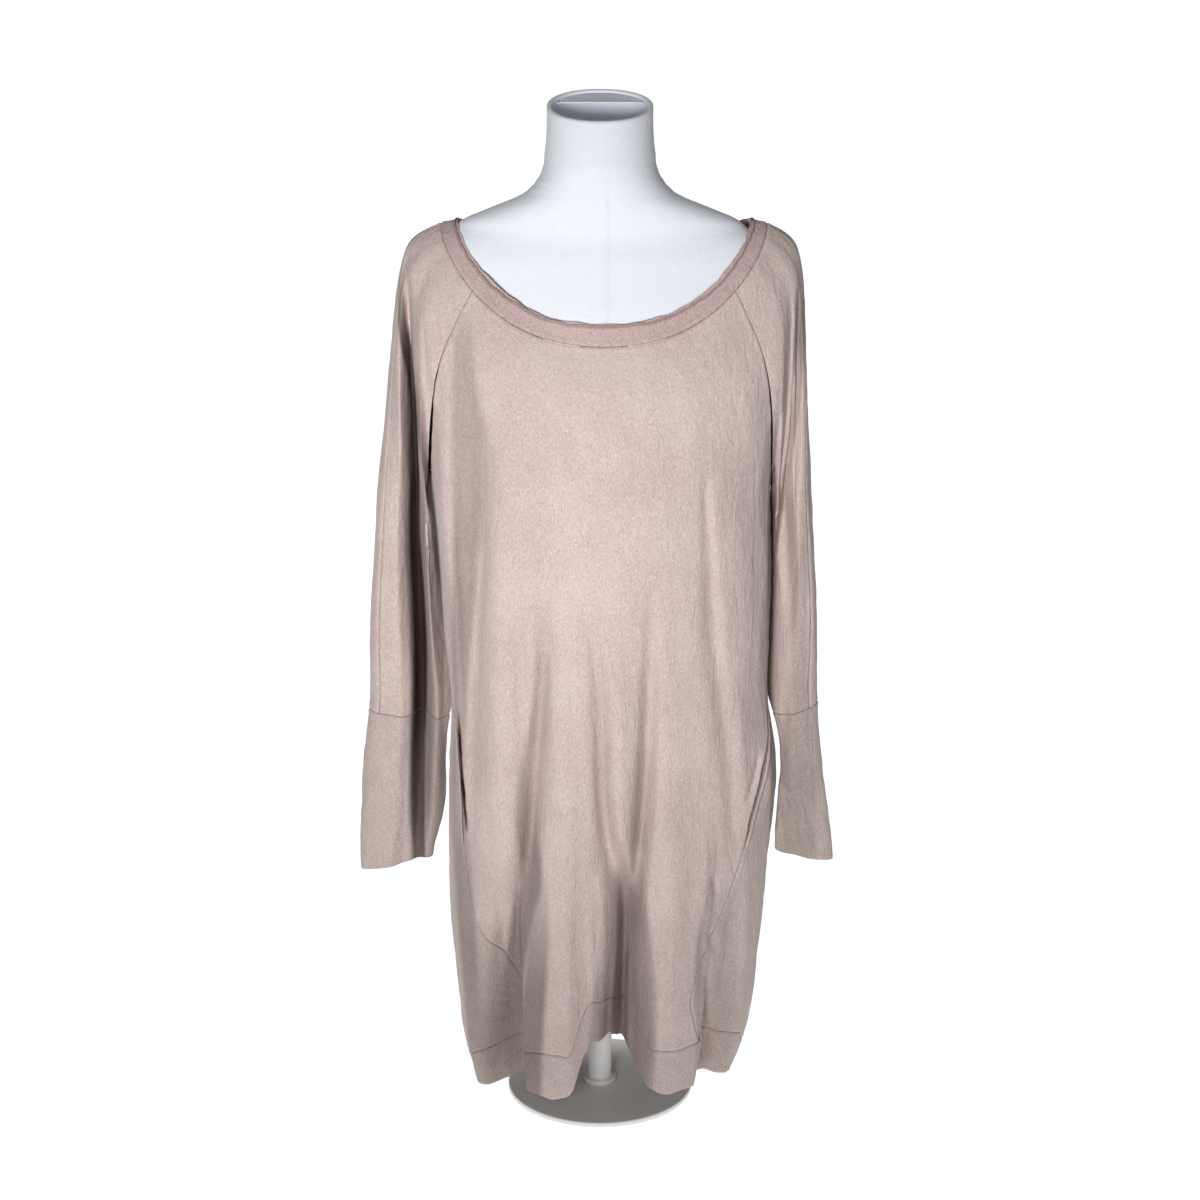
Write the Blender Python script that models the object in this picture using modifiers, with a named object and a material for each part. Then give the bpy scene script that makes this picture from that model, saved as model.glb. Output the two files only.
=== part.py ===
"""A long-sleeved cocoon tunic on a limbless dress form with a short counter stand.

The origin is the middle of the base plate's underside, +Z is up and the front faces -Y.
Right and left are the wearer's, so the wearer's right side is at -X.
Lengths are in metres. A turn is an angle in degrees round the body, from 0 at the centre
front through +90 at the wearer's left side to 180 at the centre back.
"""

import math

import bpy
import numpy as np

# Driving dimensions
CLOTH = 0.0015  # wall of the cloth
GAP = 0.0003  # between neighbours at a seam
SLANT_GAP = 0.0006  # along a row or column, where it meets a slanting seam
NECK_GAP = 0.0010  # on the outside of the neck seam, which bends over the shoulders
STRIP = 0.4  # turn across the narrow strip along each upright edge of a body panel
SLEEVE_STRIP = 0.014  # the same round a sleeve
LEVEL_STRIP = 0.002  # height of the strip along each side of the seam of the hem band
UNDERARM = 0.670  # height where the sleeves part from the body
SHOULDER = 0.920  # height of the seam of the neck band at the shoulders
NECK_SHIFT = 0.004  # the neck opening sits a little to the wearer's left
FRONT_SEAM_TURN = 84.0  # where a front raglan seam ends on the body ring
RAGLAN_FRONT, RAGLAN_BACK = 50.0, 129.0  # turns where the raglan seams leave the neck
UNDER_ROUND = 0.862  # place round a sleeve where the raglan seams end
HEM_LEVEL = 0.080  # mean height of the seam of the hem band
CUFF_TOP = {"right": (0.427, 0.004), "left": (0.432, 0.006)}  # mean height, tilt
CUFF_END = {"right": (0.260, -0.008), "left": (0.269, -0.006)}
POCKET_LOW, POCKET_HIGH = 0.292, 0.445  # heights of the ends of a pocket mouth
POCKET_MOUTH = 3.2  # turn by which the front panel's edge stands back from the mouth
WELT_WIDE, WELT = 2.4, 0.0010  # turn across a welt, and its wall
BAG_IN, BAG_WIDE = 0.0055, 13.0  # depth of a pocket bag in the panels, turn each side

NECK_TOP = 1.0455  # middle of the rim of the form's neck
NECK_FOOT = 0.985  # where the neck stands on the torso
NECK_TILT = math.tan(math.radians(15.5))  # the rim leans forward
NECK_WALL, NECK_RECESS = 0.005, 0.034
TORSO_END = 0.430
POLE_RADIUS = 0.0125
BASE_RADIUS, BASE_THICK = 0.100, 0.006

SIDES = {"right": -1, "left": 1}


def table(columns, *rows):
    """Named columns from rows of numbers, in rising order of the first column."""
    values = np.array(rows, float)
    return dict(zip(columns.split(), values[np.argsort(values[:, 0])].T))


def along(columns, name, at):
    """Smooth value of a column at each place on the table's first column."""
    first = next(iter(columns.values()))
    value = columns[name]
    slope = np.gradient(value, first)
    at = np.clip(at, first[0], first[-1])
    row = np.clip(np.searchsorted(first, at) - 1, 0, len(first) - 2)
    step = first[row + 1] - first[row]
    s = (at - first[row]) / step
    start = value[row] + s * step * slope[row]
    end = value[row + 1] - (1 - s) * step * slope[row + 1]
    blend = s * s * (3 - 2 * s)
    return start + (end - start) * blend


def bump(distance, flat=0.0):
    """A rounded hill: 1 up to the flat share of its half width, and 0 from distance 1 on."""
    slope = np.clip((np.abs(distance) - flat) / (1 - flat), 0, 1)
    return 0.5 + 0.5 * np.cos(math.pi * slope)


# Body tube: half widths to each side and depths from the middle, by height
BODY = table(
    "height right left front back",
    (0.016, 0.1350, 0.1380, 0.119, 0.106),
    (0.064, 0.1465, 0.1550, 0.119, 0.110),
    (0.100, 0.1505, 0.1630, 0.118, 0.113),
    (0.158, 0.1560, 0.1690, 0.117, 0.115),
    (0.216, 0.1595, 0.1745, 0.117, 0.116),
    (0.273, 0.1595, 0.1775, 0.118, 0.116),
    (0.330, 0.1585, 0.1820, 0.119, 0.115),
    (0.385, 0.1575, 0.1835, 0.120, 0.114),
    (0.440, 0.1550, 0.1750, 0.122, 0.112),
    (0.505, 0.1590, 0.1735, 0.124, 0.110),
    (0.590, 0.1650, 0.1745, 0.125, 0.109),
    (0.670, 0.1705, 0.1725, 0.124, 0.112),
)
# Largest folds: turn where each meets the hem and where it starts, the height where it
# starts, its half width in turn, the flat share of that, its depth at the hem, and how far
# it lifts the hem
FOLDS = table(
    "hem_turn top_turn start wide flat depth lift",
    (-161, -165, 0.42, 20, 0.25, 0.030, 0.006),
    (-124, -130, 0.36, 18, 0.25, 0.022, 0.004),
    (-42, -34, 0.40, 13, 0.30, 0.046, 0.003),
    (3.5, 1, 0.40, 14, 0.35, 0.020, 0.040),
    (8, 4, 0.40, 9, 0.35, 0.052, 0.000),
    (51, 44, 0.32, 13, 0.30, 0.030, 0.000),
    (112, 118, 0.36, 17, 0.25, 0.020, 0.003),
    (150, 152, 0.40, 17, 0.25, 0.034, 0.006),
    (178, 178, 0.34, 15, 0.25, 0.024, 0.004),
)
# Hem band between the folds: height of its seam, and its upright depth, which is less
# where it curls in under the sides
HEM = table(
    "turn height depth",
    (-180, 0.066, 0.049),
    (-130, 0.064, 0.046),
    (-100, 0.052, 0.032),
    (-80, 0.049, 0.030),
    (-64, 0.067, 0.036),
    (-42, 0.088, 0.044),
    (-26, 0.091, 0.048),
    (26, 0.096, 0.049),
    (57, 0.092, 0.049),
    (70, 0.083, 0.043),
    (85, 0.062, 0.031),
    (100, 0.056, 0.030),
    (130, 0.064, 0.044),
    (180, 0.066, 0.049),
)
# Turn of the front edge of each side panel, by height
SIDE_SEAM = table(
    "height right left",
    (0.016, 31, 39),
    (0.090, 31, 38),
    (0.125, 32, 33),
    (0.165, 38, 32.5),
    (0.190, 43, 36),
    (0.220, 50, 42),
    (0.280, 58, 51),
    (0.320, 61, 55),
    (0.385, 65, 67),
    (0.440, 73, 79),
    (0.505, 84, 84),
    (0.620, 84, 84),
    (0.670, 84, 84),
)
# Sleeves below the underarm: distances from the middle plane of the outer and inner
# edges, half depth front to back, and the depth of the long fold down the front
SLEEVE = {
    "right": table(
        "height outer inner deep fold",
        (0.250, 0.2550, 0.1800, 0.016, 0.008),
        (0.273, 0.2550, 0.1770, 0.017, 0.010),
        (0.320, 0.2522, 0.1655, 0.020, 0.014),
        (0.375, 0.2494, 0.1620, 0.022, 0.018),
        (0.430, 0.2425, 0.1590, 0.023, 0.021),
        (0.505, 0.2396, 0.1645, 0.025, 0.023),
        (0.600, 0.2325, 0.1700, 0.028, 0.026),
        (0.670, 0.2255, 0.1712, 0.031, 0.026),
    ),
    "left": table(
        "height outer inner deep fold",
        (0.250, 0.2495, 0.1870, 0.015, 0.003),
        (0.273, 0.2470, 0.1865, 0.016, 0.004),
        (0.330, 0.2390, 0.1880, 0.019, 0.004),
        (0.385, 0.2330, 0.1885, 0.021, 0.003),
        (0.440, 0.2275, 0.1800, 0.022, 0.003),
        (0.505, 0.2260, 0.1780, 0.024, 0.008),
        (0.590, 0.2215, 0.1780, 0.027, 0.022),
        (0.670, 0.2145, 0.1734, 0.030, 0.026),
    ),
}
SLEEVE_BACK = 0.004  # the sleeves hang this far behind the middle
# The long fold and the overarm seam, from the cuff up to the shoulder: place round the
# sleeve (0 outer edge, 1 inner edge), and the share of the fold's depth above the underarm
SLEEVE_LINES = table(
    "height fold_round share seam_right seam_left",
    (0.250, 0.62, 1.0, 0.27, 0.31),
    (0.430, 0.62, 1.0, 0.26, 0.30),
    (0.600, 0.62, 1.0, 0.26, 0.27),
    (0.670, 0.61, 1.0, 0.25, 0.25),
    (0.740, 0.59, 0.9, 0.23, 0.21),
    (0.800, 0.54, 0.8, 0.18, 0.16),
    (0.860, 0.45, 0.25, 0.11, 0.10),
    (0.920, 0.40, 0.0, 0.04, 0.04),
)
FOLD_WIDE = 0.17  # half width of the long fold round the sleeve
# Shoulder yoke: between the neck seam and the underarm each line of the cloth bends round
# one guide point. Stations: 0 centre front, 1 front raglan seam, 2 top of the shoulder,
# 3 back raglan seam, 4 centre back. Pull says how tightly the line rounds its guide.
YOKE = table(
    "station across y height pull",
    (0.00, 0.000, -0.120, 0.765, 1.0),
    (0.50, 0.094, -0.113, 0.775, 1.0),
    (1.00, 0.168, -0.080, 0.800, 2.0),
    (1.25, 0.183, -0.068, 0.836, 2.4),
    (1.50, 0.192, -0.052, 0.869, 2.7),
    (1.75, 0.198, -0.028, 0.901, 3.6),
    (2.00, 0.199, 0.000, 0.915, 4.6),
    (2.50, 0.192, 0.050, 0.878, 2.8),
    (3.00, 0.162, 0.086, 0.800, 1.7),
    (3.50, 0.100, 0.114, 0.800, 1.0),
    (4.00, 0.000, 0.112, 0.800, 1.0),
)
STATIONS = (0, 1, 2, 3, 4)
# Neck opening: the seam of the band (0) and its raw edge (1)
NECK = table(
    "ring half_width front back side_height front_height back_height",
    (0, 0.161, 0.0900, 0.088, 0.9335, 0.8236, 0.900),
    (1, 0.146, 0.0830, 0.081, 0.9365, 0.8430, 0.917),
)
# Dress form: half width, depths to the front and back, by height
TORSO = table(
    "height half_width front back",
    (0.430, 0.138, 0.084, 0.100),
    (0.434, 0.140, 0.086, 0.102),
    (0.500, 0.138, 0.090, 0.101),
    (0.600, 0.121, 0.089, 0.083),
    (0.680, 0.134, 0.102, 0.086),
    (0.745, 0.151, 0.110, 0.093),
    (0.800, 0.163, 0.094, 0.094),
    (0.850, 0.176, 0.074, 0.086),
    (0.885, 0.184, 0.058, 0.072),
    (0.905, 0.184, 0.050, 0.060),
    (0.913, 0.177, 0.046, 0.056),
    (0.920, 0.163, 0.043, 0.053),
    (0.928, 0.146, 0.040, 0.049),
    (0.936, 0.136, 0.040, 0.049),
    (0.944, 0.118, 0.040, 0.049),
    (0.952, 0.098, 0.042, 0.049),
    (0.959, 0.081, 0.045, 0.050),
    (0.967, 0.0693, 0.0480, 0.0510),
    (0.975, 0.0623, 0.0505, 0.0515),
    (0.985, 0.0570, 0.0525, 0.0525),
)
NECK_ROWS = table(
    "height half_width depth",
    (0.9853, 0.0570, 0.0525),
    (1.0000, 0.0545, 0.0515),
    (1.0200, 0.0525, 0.0505),
    (1.0455, 0.0520, 0.0500),
)


def oval(turn, right, left, front, back, power):
    """Point of a rounded oval with its own reach to each of its four sides."""
    across = np.sin(np.radians(turn))
    forward = np.cos(np.radians(turn))
    width = np.where(across < 0, right, left)
    depth = np.where(forward < 0, back, front)
    x = width * np.sign(across) * np.abs(across) ** power
    y = -depth * np.sign(forward) * np.abs(forward) ** power
    return x, y


def fold_shape(turn, fall, hem_turn, top_turn, wide, flat):
    """Outline of one fold across the turns, at its share of the way down."""
    centre = top_turn + (hem_turn - top_turn) * fall
    return bump(((turn - centre + 180) % 360 - 180) / wide, flat)


def folded(turn, height):
    """How far the folds draw the body tube in towards its middle."""
    turn, height = np.broadcast_arrays(turn, height)
    inward = np.zeros(turn.shape)
    for hem_turn, top_turn, start, wide, flat, depth, _ in zip(*FOLDS.values()):
        fall = np.clip((start - height) / (start - 0.04), 0, 1.1)
        shape = fold_shape(turn, fall, hem_turn, top_turn, wide, flat)
        inward = inward + depth * fall**1.5 * shape
    return inward


def body(turn, height, out=0.0):
    """Outer face of the body tube, moved out by a given distance."""
    right, left, front, back = (
        along(BODY, side, height) for side in ("right", "left", "front", "back")
    )
    x, y = oval(turn, right, left, front, back, 0.89)
    move = folded(turn, height) - out
    x = x - move * np.sin(np.radians(turn))
    y = y + move * np.cos(np.radians(turn))
    return np.stack([x, y, height + 0 * x], -1)


def hem_seam(turn):
    """Height of the seam of the hem band: lower at the sides and back, higher in a fold."""
    height = along(HEM, "height", (turn + 180) % 360 - 180)
    for hem_turn, top_turn, _, wide, flat, _, lift in zip(*FOLDS.values()):
        height = height + lift * fold_shape(turn, 0.95, hem_turn, top_turn, wide, flat)
    return height


def sleeve_fold(side, around, height, deep_at):
    """How far the long fold draws the front of a sleeve back."""
    centre = along(SLEEVE_LINES, "fold_round", height)
    share = along(SLEEVE_LINES, "share", height)
    depth = along(SLEEVE[side], "fold", deep_at)
    return depth * share * bump((around - centre) / FOLD_WIDE)


def sleeve_ring(side, around, height):
    """Sleeve before its fold. Around: 0 outer edge, 1 inner by the front, -1 by the back."""
    outer, inner, deep = (along(SLEEVE[side], n, height) for n in ("outer", "inner", "deep"))
    x = (outer + inner) / 2 + (outer - inner) / 2 * np.cos(math.pi * around)
    y = SLEEVE_BACK * (1 - np.abs(around)) - deep * np.sin(math.pi * around)
    return np.stack([SIDES[side] * x, y, height + 0 * x], -1)


def sleeve(side, around, height):
    """Outer face of a sleeve below the underarm."""
    points = sleeve_ring(side, around, height)
    points[..., 1] += sleeve_fold(side, around, height, height)
    return points


def neck(ring, turn):
    """Point on the neck band: ring 0 is its seam, 1 its raw edge."""
    size = {name: along(NECK, name, ring) for name in NECK}
    half = size["half_width"]
    x, y = oval(turn, half, half, size["front"], size["back"], 0.87)
    forward = np.cos(np.radians(turn))
    end = np.where(forward < 0, size["back_height"], size["front_height"])
    height = size["side_height"] + (end - size["side_height"]) * np.abs(forward) ** 1.4
    return np.stack([x + NECK_SHIFT, y, height], -1)


def station_turns(station):
    """Turn on the neck seam and on the body ring for each station of the yoke."""
    on_neck = np.interp(station, STATIONS, (0, RAGLAN_FRONT, 90, RAGLAN_BACK, 180))
    under = (0, FRONT_SEAM_TURN, 90, 180 - FRONT_SEAM_TURN, 180)
    return on_neck, np.interp(station, STATIONS, under)


def yoke(side, station, fall, end):
    """Shoulder yoke: fall is 0 at the neck seam and 1 at the underarm, where end lies."""
    sign = SIDES[side]
    start = neck(0.0, sign * station_turns(station)[0])
    across, y, height, pull = (along(YOKE, n, station) for n in ("across", "y", "height", "pull"))
    guide = np.stack([sign * across + NECK_SHIFT / 2, y, height], -1)
    shares = np.stack([(1 - fall) ** 2 + 0 * pull, 2 * pull * fall * (1 - fall), fall**2 + 0 * pull])
    shares = shares / shares.sum(0)
    return sum(share[..., None] * point for share, point in zip(shares, (start, guide, end)))


def yoke_of_body(side, station, fall):
    """The part of the yoke that the front and back panels cover."""
    end = body(SIDES[side] * station_turns(station)[1], UNDERARM)
    return yoke(side, station, fall, end)


def yoke_of_sleeve(side, around, fall):
    """The part of the yoke that the sleeve covers, with the top of its long fold."""
    points = yoke(side, 2 - around / UNDER_ROUND, fall, sleeve_ring(side, around, UNDERARM))
    points[..., 1] += sleeve_fold(side, around, points[..., 2], UNDERARM)
    return points


def spread(start, end, columns, strip):
    """Places from start to end: even columns between two strips of a given width."""
    inner = columns[-1] - 2
    even = np.clip(columns - 1, 0, inner) / inner
    outer = np.clip(columns, 0, 1) + np.clip(columns - inner - 1, 0, 1)
    return start + (end - start - 2 * strip) * even + strip * outer


# Columns across each panel, from its right or front edge
FRONT_COLUMNS, BACK_COLUMNS, SIDE_COLUMNS = np.arange(25), np.arange(16), np.arange(10)
SLEEVE_COLUMNS = {1: np.arange(10), -1: np.arange(7)}
UNDER_COLUMNS = np.array([0.45, 0.93, 1.0])  # from the end of the raglan seam to the inner edge
# Rows of a panel: falls down the yoke, and drops from the underarm to the lower seam
YOKE_FALLS = np.concatenate([[0.0, 0.02], np.linspace(0.0, 1.0, 8)[1:]])
DROPS = np.linspace(0.0, 1.0, 13)[1:-1]
SLEEVE_DROPS = np.concatenate([np.linspace(0.0, 1.0, 8)[1:-1], [0.98, 1.0]])


def step_in(edge, inner, distance=SLANT_GAP / 2):
    """Points of an edge moved towards their inner neighbours."""
    away = inner - edge
    return edge + away * (distance / np.linalg.norm(away, axis=-1, keepdims=True))


def ends_in(row):
    """A row whose two ends are drawn in, a little more than half a gap as the seams slant."""
    row = row.copy()
    row[0], row[-1] = step_in(row[0], row[1]), step_in(row[-1], row[-2])
    return row


def edges_in(rows, top=SLANT_GAP / 2):
    """Rows whose first and last are drawn in, to stay clear of the neighbours."""
    rows = np.array(rows)
    rows[0], rows[-1] = step_in(rows[0], rows[1], top), step_in(rows[-1], rows[-2])
    return rows


def seam_turn(side, height):
    """Turn of a side panel's front edge."""
    return along(SIDE_SEAM, side, height)


def mouth(height):
    """Turn by which the front panel's edge stands back from the pocket mouth."""
    middle, half = (POCKET_LOW + POCKET_HIGH) / 2, (POCKET_HIGH - POCKET_LOW) / 2
    return POCKET_MOUTH * bump((height - middle) / half)


def front_turn(height, columns=FRONT_COLUMNS):
    right, left = (seam_turn(side, height) - mouth(height) for side in SIDES)
    return spread(-right, left, columns, STRIP)


def back_turn(height, columns=BACK_COLUMNS):
    return spread(180 + seam_turn("right", height), 180 - seam_turn("left", height), columns, -STRIP)


def right_turn(height, columns=SIDE_COLUMNS):
    seam = seam_turn("right", height)
    return spread(-seam, seam - 180, columns, -STRIP)


def left_turn(height, columns=SIDE_COLUMNS):
    seam = seam_turn("left", height)
    return spread(seam, 180 - seam, columns, STRIP)


def settle(turn_of, drop):
    """Turns and heights of a panel's row, which follows the hem more closely lower down."""
    height = UNDERARM + (HEM_LEVEL - UNDERARM) * drop
    for _ in range(8):
        turn = turn_of(height)
        height = UNDERARM + (hem_seam(turn) - UNDERARM) * drop
    return turn, height


def panel_rows(turn_of, has_yoke=True):
    """Rows of a body panel, with its part of the yoke where it has one."""
    turn = turn_of(UNDERARM)
    rows = []
    if has_yoke:
        across = (turn + 180) % 360 - 180
        station = np.interp(np.abs(across), station_turns(STATIONS)[1], STATIONS)
        for fall in YOKE_FALLS:
            right, left = (yoke_of_body(side, station, fall) for side in SIDES)
            rows.append(np.where((across < 0)[..., None], right, left))
    else:
        rows.append(body(turn, UNDERARM - 2 * GAP))
    rows += [body(*settle(turn_of, drop)) for drop in DROPS]
    turn, height = settle(turn_of, 1.0)
    rows += [body(turn, height + LEVEL_STRIP), body(turn, height)]
    return edges_in([ends_in(row) for row in rows])


def cuff_level(sizes, around):
    """Height of a cuff's edge: its mean height, and its tilt from the inside to the outside."""
    middle, tilt = sizes
    return middle + tilt * np.cos(math.pi * around)


def sleeve_around(side, half, height, under):
    """Places round the sleeve of the columns of its front (half 1) or back (half -1)."""
    seam = along(SLEEVE_LINES, f"seam_{side}", height)
    around = spread(seam, half * UNDER_ROUND, SLEEVE_COLUMNS[half], half * SLEEVE_STRIP)
    beyond = half * (UNDER_ROUND + (1 - UNDER_ROUND) * UNDER_COLUMNS)
    return np.concatenate([around, beyond]) if under else around


def settle_sleeve(side, half, drop):
    """Places round the sleeve and heights of a row between the underarm and the cuff seam."""
    seam_height = UNDERARM
    for _ in range(6):
        around = sleeve_around(side, half, seam_height, True)
        height = UNDERARM + (cuff_level(CUFF_TOP[side], around) - UNDERARM) * drop
        seam_height = height[0]
    return around, height


def sleeve_rows(side, half):
    """Rows of the front or back of a sleeve, and how many of them lie above the underarm."""
    extra = len(UNDER_COLUMNS)
    rows = []
    for fall in YOKE_FALLS[:-1]:
        level = SHOULDER - (SHOULDER - UNDERARM) * fall
        row = ends_in(yoke_of_sleeve(side, sleeve_around(side, half, level, False), fall))
        rows.append(np.concatenate([row, np.repeat(row[-1:], extra, 0)]))
    above = len(rows)
    around = sleeve_around(side, half, UNDERARM, True)
    rows.append(ends_in(sleeve(side, around, UNDERARM + 0 * around)))
    rows += [ends_in(sleeve(side, *settle_sleeve(side, half, drop))) for drop in SLEEVE_DROPS]
    return edges_in(rows), above


def merged(*places):
    """Places in rising order, with those that two neighbours share listed once."""
    return np.unique(np.round(np.concatenate(places), 9))


def cuff_rows(side):
    around = merged(*(settle_sleeve(side, half, 1.0)[0] for half in (1, -1)))[1:]
    top, end = cuff_level(CUFF_TOP[side], around), cuff_level(CUFF_END[side], around)
    return edges_in([sleeve(side, around, top + (end - top) * s) for s in (0, 0.02, 0.33, 0.67, 1)])


def neck_rows():
    """The neck band, from its raw edge down to its seam."""
    turns = []
    for side, sign in SIDES.items():
        around = [sleeve_around(side, half, SHOULDER, False) for half in (1, -1)]
        stations = [2 - place / UNDER_ROUND for place in around]
        for turn_of in (front_turn, back_turn):
            across = sign * ((turn_of(UNDERARM) + 180) % 360 - 180)
            stations.append(np.interp(across[across >= 0], station_turns(STATIONS)[1], STATIONS))
        turns.append(sign * station_turns(merged(*stations))[0])
    turn = merged(*turns)[1:]
    return edges_in(np.stack([neck(ring, turn) for ring in (0.0, 1.0)]), NECK_GAP)[::-1]


def hem_rows():
    turns = [settle(turn_of, 1.0)[0] for turn_of in (front_turn, back_turn, right_turn, left_turn)]
    turn = merged(*[(t + 180) % 360 - 180 for t in turns])
    top, depth = hem_seam(turn), along(HEM, "depth", turn)
    return edges_in([body(turn, top - level) for level in (0.0, LEVEL_STRIP, depth)])


def mouth_rows(side, start_turn, end_turn, low, high, out, columns, count):
    """A strip that follows a pocket mouth: turns are measured from the seam."""
    share = np.linspace(0, 1, columns)
    rows = []
    for height in np.linspace(high, low, count):
        turn = seam_turn(side, height) + start_turn + (end_turn - start_turn) * share
        rows.append(body(SIDES[side] * turn, height, out))
    return np.stack(rows)


def linear(code):
    """Linear colour of an sRGB hex code."""
    parts = [int(code[i : i + 2], 16) / 255 for i in (1, 3, 5)]
    return [c / 12.92 if c <= 0.04045 else ((c + 0.055) / 1.055) ** 2.4 for c in parts] + [1.0]


def material(name, code, rough, metal=0.0):
    made = bpy.data.materials.new(name)
    made.use_nodes = True
    shader = made.node_tree.nodes["Principled BSDF"]
    shader.inputs["Base Color"].default_value = linear(code)
    shader.inputs["Roughness"].default_value = rough
    shader.inputs["Metallic"].default_value = metal
    made.diffuse_color = linear(code)
    return made


def add(name, points, faces, code, rough, metal=0.0):
    """A named object with its own material in the tunic's collection."""
    used, faces_of_used = np.unique(np.concatenate(faces), return_inverse=True)
    points = np.asarray(points, float).reshape(-1, 3)[used]
    faces = np.split(faces_of_used.ravel(), np.cumsum([len(face) for face in faces])[:-1])
    mesh = bpy.data.meshes.new(name)
    mesh.from_pydata(points.tolist(), [], [face.tolist() for face in faces])
    mesh.shade_smooth()
    mesh.set_sharp_from_angle(angle=math.radians(50))
    mesh.materials.append(material(name, code, rough, metal))
    made = bpy.data.objects.new(name, mesh)
    collection.objects.link(made)
    return made


def grid_faces(count, across, closed, flip):
    """Quads of a grid of rows. Flip turns them over, for columns that run leftwards."""
    quads = []
    for row in range(count - 1):
        for i in range(across if closed else across - 1):
            here, beside = row * across + i, row * across + (i + 1) % across
            quad = [here, here + across, beside + across, beside]
            quads.append(quad[::-1] if flip else quad)
    return quads


def cloth(name, rows, code, flip=False, closed=False, wall=CLOTH, above=0):
    """A piece of cloth: its outer face, with its wall inside it. Above counts the rows
    that stop short of the columns under the arm."""
    across = rows.shape[1]
    faces = grid_faces(len(rows), across, closed, flip)
    last = across - len(UNDER_COLUMNS) - 1
    faces = [f for f in faces if min(f) // across >= above or min(f) % across < last]
    made = add(name, rows, faces, code, 0.9)
    solid = made.modifiers.new("wall", "SOLIDIFY")
    solid.thickness = wall
    solid.offset = -1
    return made


def loft(name, rings, code, rough, metal=0.0):
    """A closed solid through rings of points, from the bottom up, with flat ends."""
    rings = np.stack(rings)[::-1]
    count, across = rings.shape[:2]
    faces = grid_faces(count, across, True, False)
    faces.append(list(range(across)))
    faces.append(list(range((count - 1) * across, count * across))[::-1])
    return add(name, rings, faces, code, rough, metal)


def ring(half, front, back, height, tilt=0.0, columns=32):
    turn = np.linspace(0, 360, columns, endpoint=False)
    x, y = oval(turn, half, half, front, back, 0.94)
    return np.stack([x, y, height + tilt * NECK_TILT * y], -1)


def torso():
    rings = [ring(half, front, back, height) for height, half, front, back in zip(*TORSO.values())]
    loft("form_torso", rings, "#E4E7EE", 0.7)


def form_neck():
    """The neck, with an open top: up its outside, over the rim and down into the recess."""
    outside = []
    for height, half, depth in zip(*NECK_ROWS.values()):
        tilt = (height - NECK_FOOT - GAP) / (NECK_TOP - NECK_FOOT - GAP)
        outside.append(ring(half, depth, depth, height, tilt**2, 24))
    half, depth = (NECK_ROWS[n][-1] - NECK_WALL for n in ("half_width", "depth"))
    floor = NECK_TOP - NECK_RECESS
    inside = [ring(half, depth, depth, NECK_TOP, 1.0, 24), ring(half, depth, depth, floor, 0.0, 24)]
    loft("form_neck", outside + inside, "#E4E7EE", 0.7)


def cylinder(name, radius, low, high, sides, code, rough, metal, edge):
    bpy.ops.mesh.primitive_cylinder_add(
        vertices=sides, radius=radius, depth=high - low, location=(0, 0, (low + high) / 2)
    )
    made = bpy.context.object
    made.name = name
    for other in made.users_collection:
        other.objects.unlink(made)
    collection.objects.link(made)
    made.data.materials.append(material(name, code, rough, metal))
    made.data.shade_smooth()
    made.data.set_sharp_from_angle(angle=math.radians(50))
    if edge:
        bevel = made.modifiers.new("edge", "BEVEL")
        bevel.width = edge
        bevel.segments = 1
        bevel.limit_method = "ANGLE"
    return made


for old in list(bpy.data.objects):
    bpy.data.objects.remove(old)
collection = bpy.data.collections.new("tunic_on_form")
bpy.context.scene.collection.children.link(collection)

ROSE = "#BFA99C"
cloth("front_panel", panel_rows(front_turn), ROSE)
cloth("back_panel", panel_rows(back_turn), ROSE, flip=True)
cloth("side_panel_right", panel_rows(right_turn, False), "#B5A398", flip=True)
cloth("side_panel_left", panel_rows(left_turn, False), "#B5A398")
cloth("neck_band", neck_rows(), "#C8AFA2", closed=True)
cloth("hem_band", hem_rows(), "#B8A497", closed=True)
for side, sign in SIDES.items():
    for half, half_name in ((1, "front"), (-1, "back")):
        rows, above = sleeve_rows(side, half)
        cloth(f"sleeve_{half_name}_{side}", rows, ROSE, flip=sign != -half, above=above)
    cloth(f"cuff_{side}", cuff_rows(side), "#B39D91", flip=sign == 1, closed=True)
    low, high = POCKET_LOW, POCKET_HIGH
    welt = mouth_rows(side, 0.3, WELT_WIDE, low + 0.01, high - 0.01, 3 * GAP + WELT, 3, 8)
    cloth(f"pocket_welt_{side}", welt, "#C9B3A6", flip=sign == -1, wall=WELT)
    bag = mouth_rows(side, -BAG_WIDE, BAG_WIDE, low - 0.01, high, -BAG_IN, 5, 6)
    cloth(f"pocket_bag_{side}", bag, "#A89084", flip=sign == -1)
torso()
form_neck()
cylinder("stand_pole", POLE_RADIUS, BASE_THICK + GAP, TORSO_END - GAP, 16, "#E6E6E6", 0.35, 0.0, 0)
cylinder("stand_base", BASE_RADIUS, 0.0, BASE_THICK, 48, "#E6E6E6", 0.35, 0.0, 0.0012)
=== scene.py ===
# %% [markdown]
# # A cocoon tunic in rose-taupe jersey, worn on a dress form
#
# The object is a long-sleeved cotton jersey tunic on a white, limbless dress form with a
# short counter stand. The imported CAD model gives the sizes. The cloth in it is true but
# plain: faceted panels with only the largest folds. Each panel is therefore made again
# here as a fine surface on the same form, with its creases, seams and stitches, and the
# plain solids stay in the scene, hidden.

# %% Load the CAD model
import math

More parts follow.
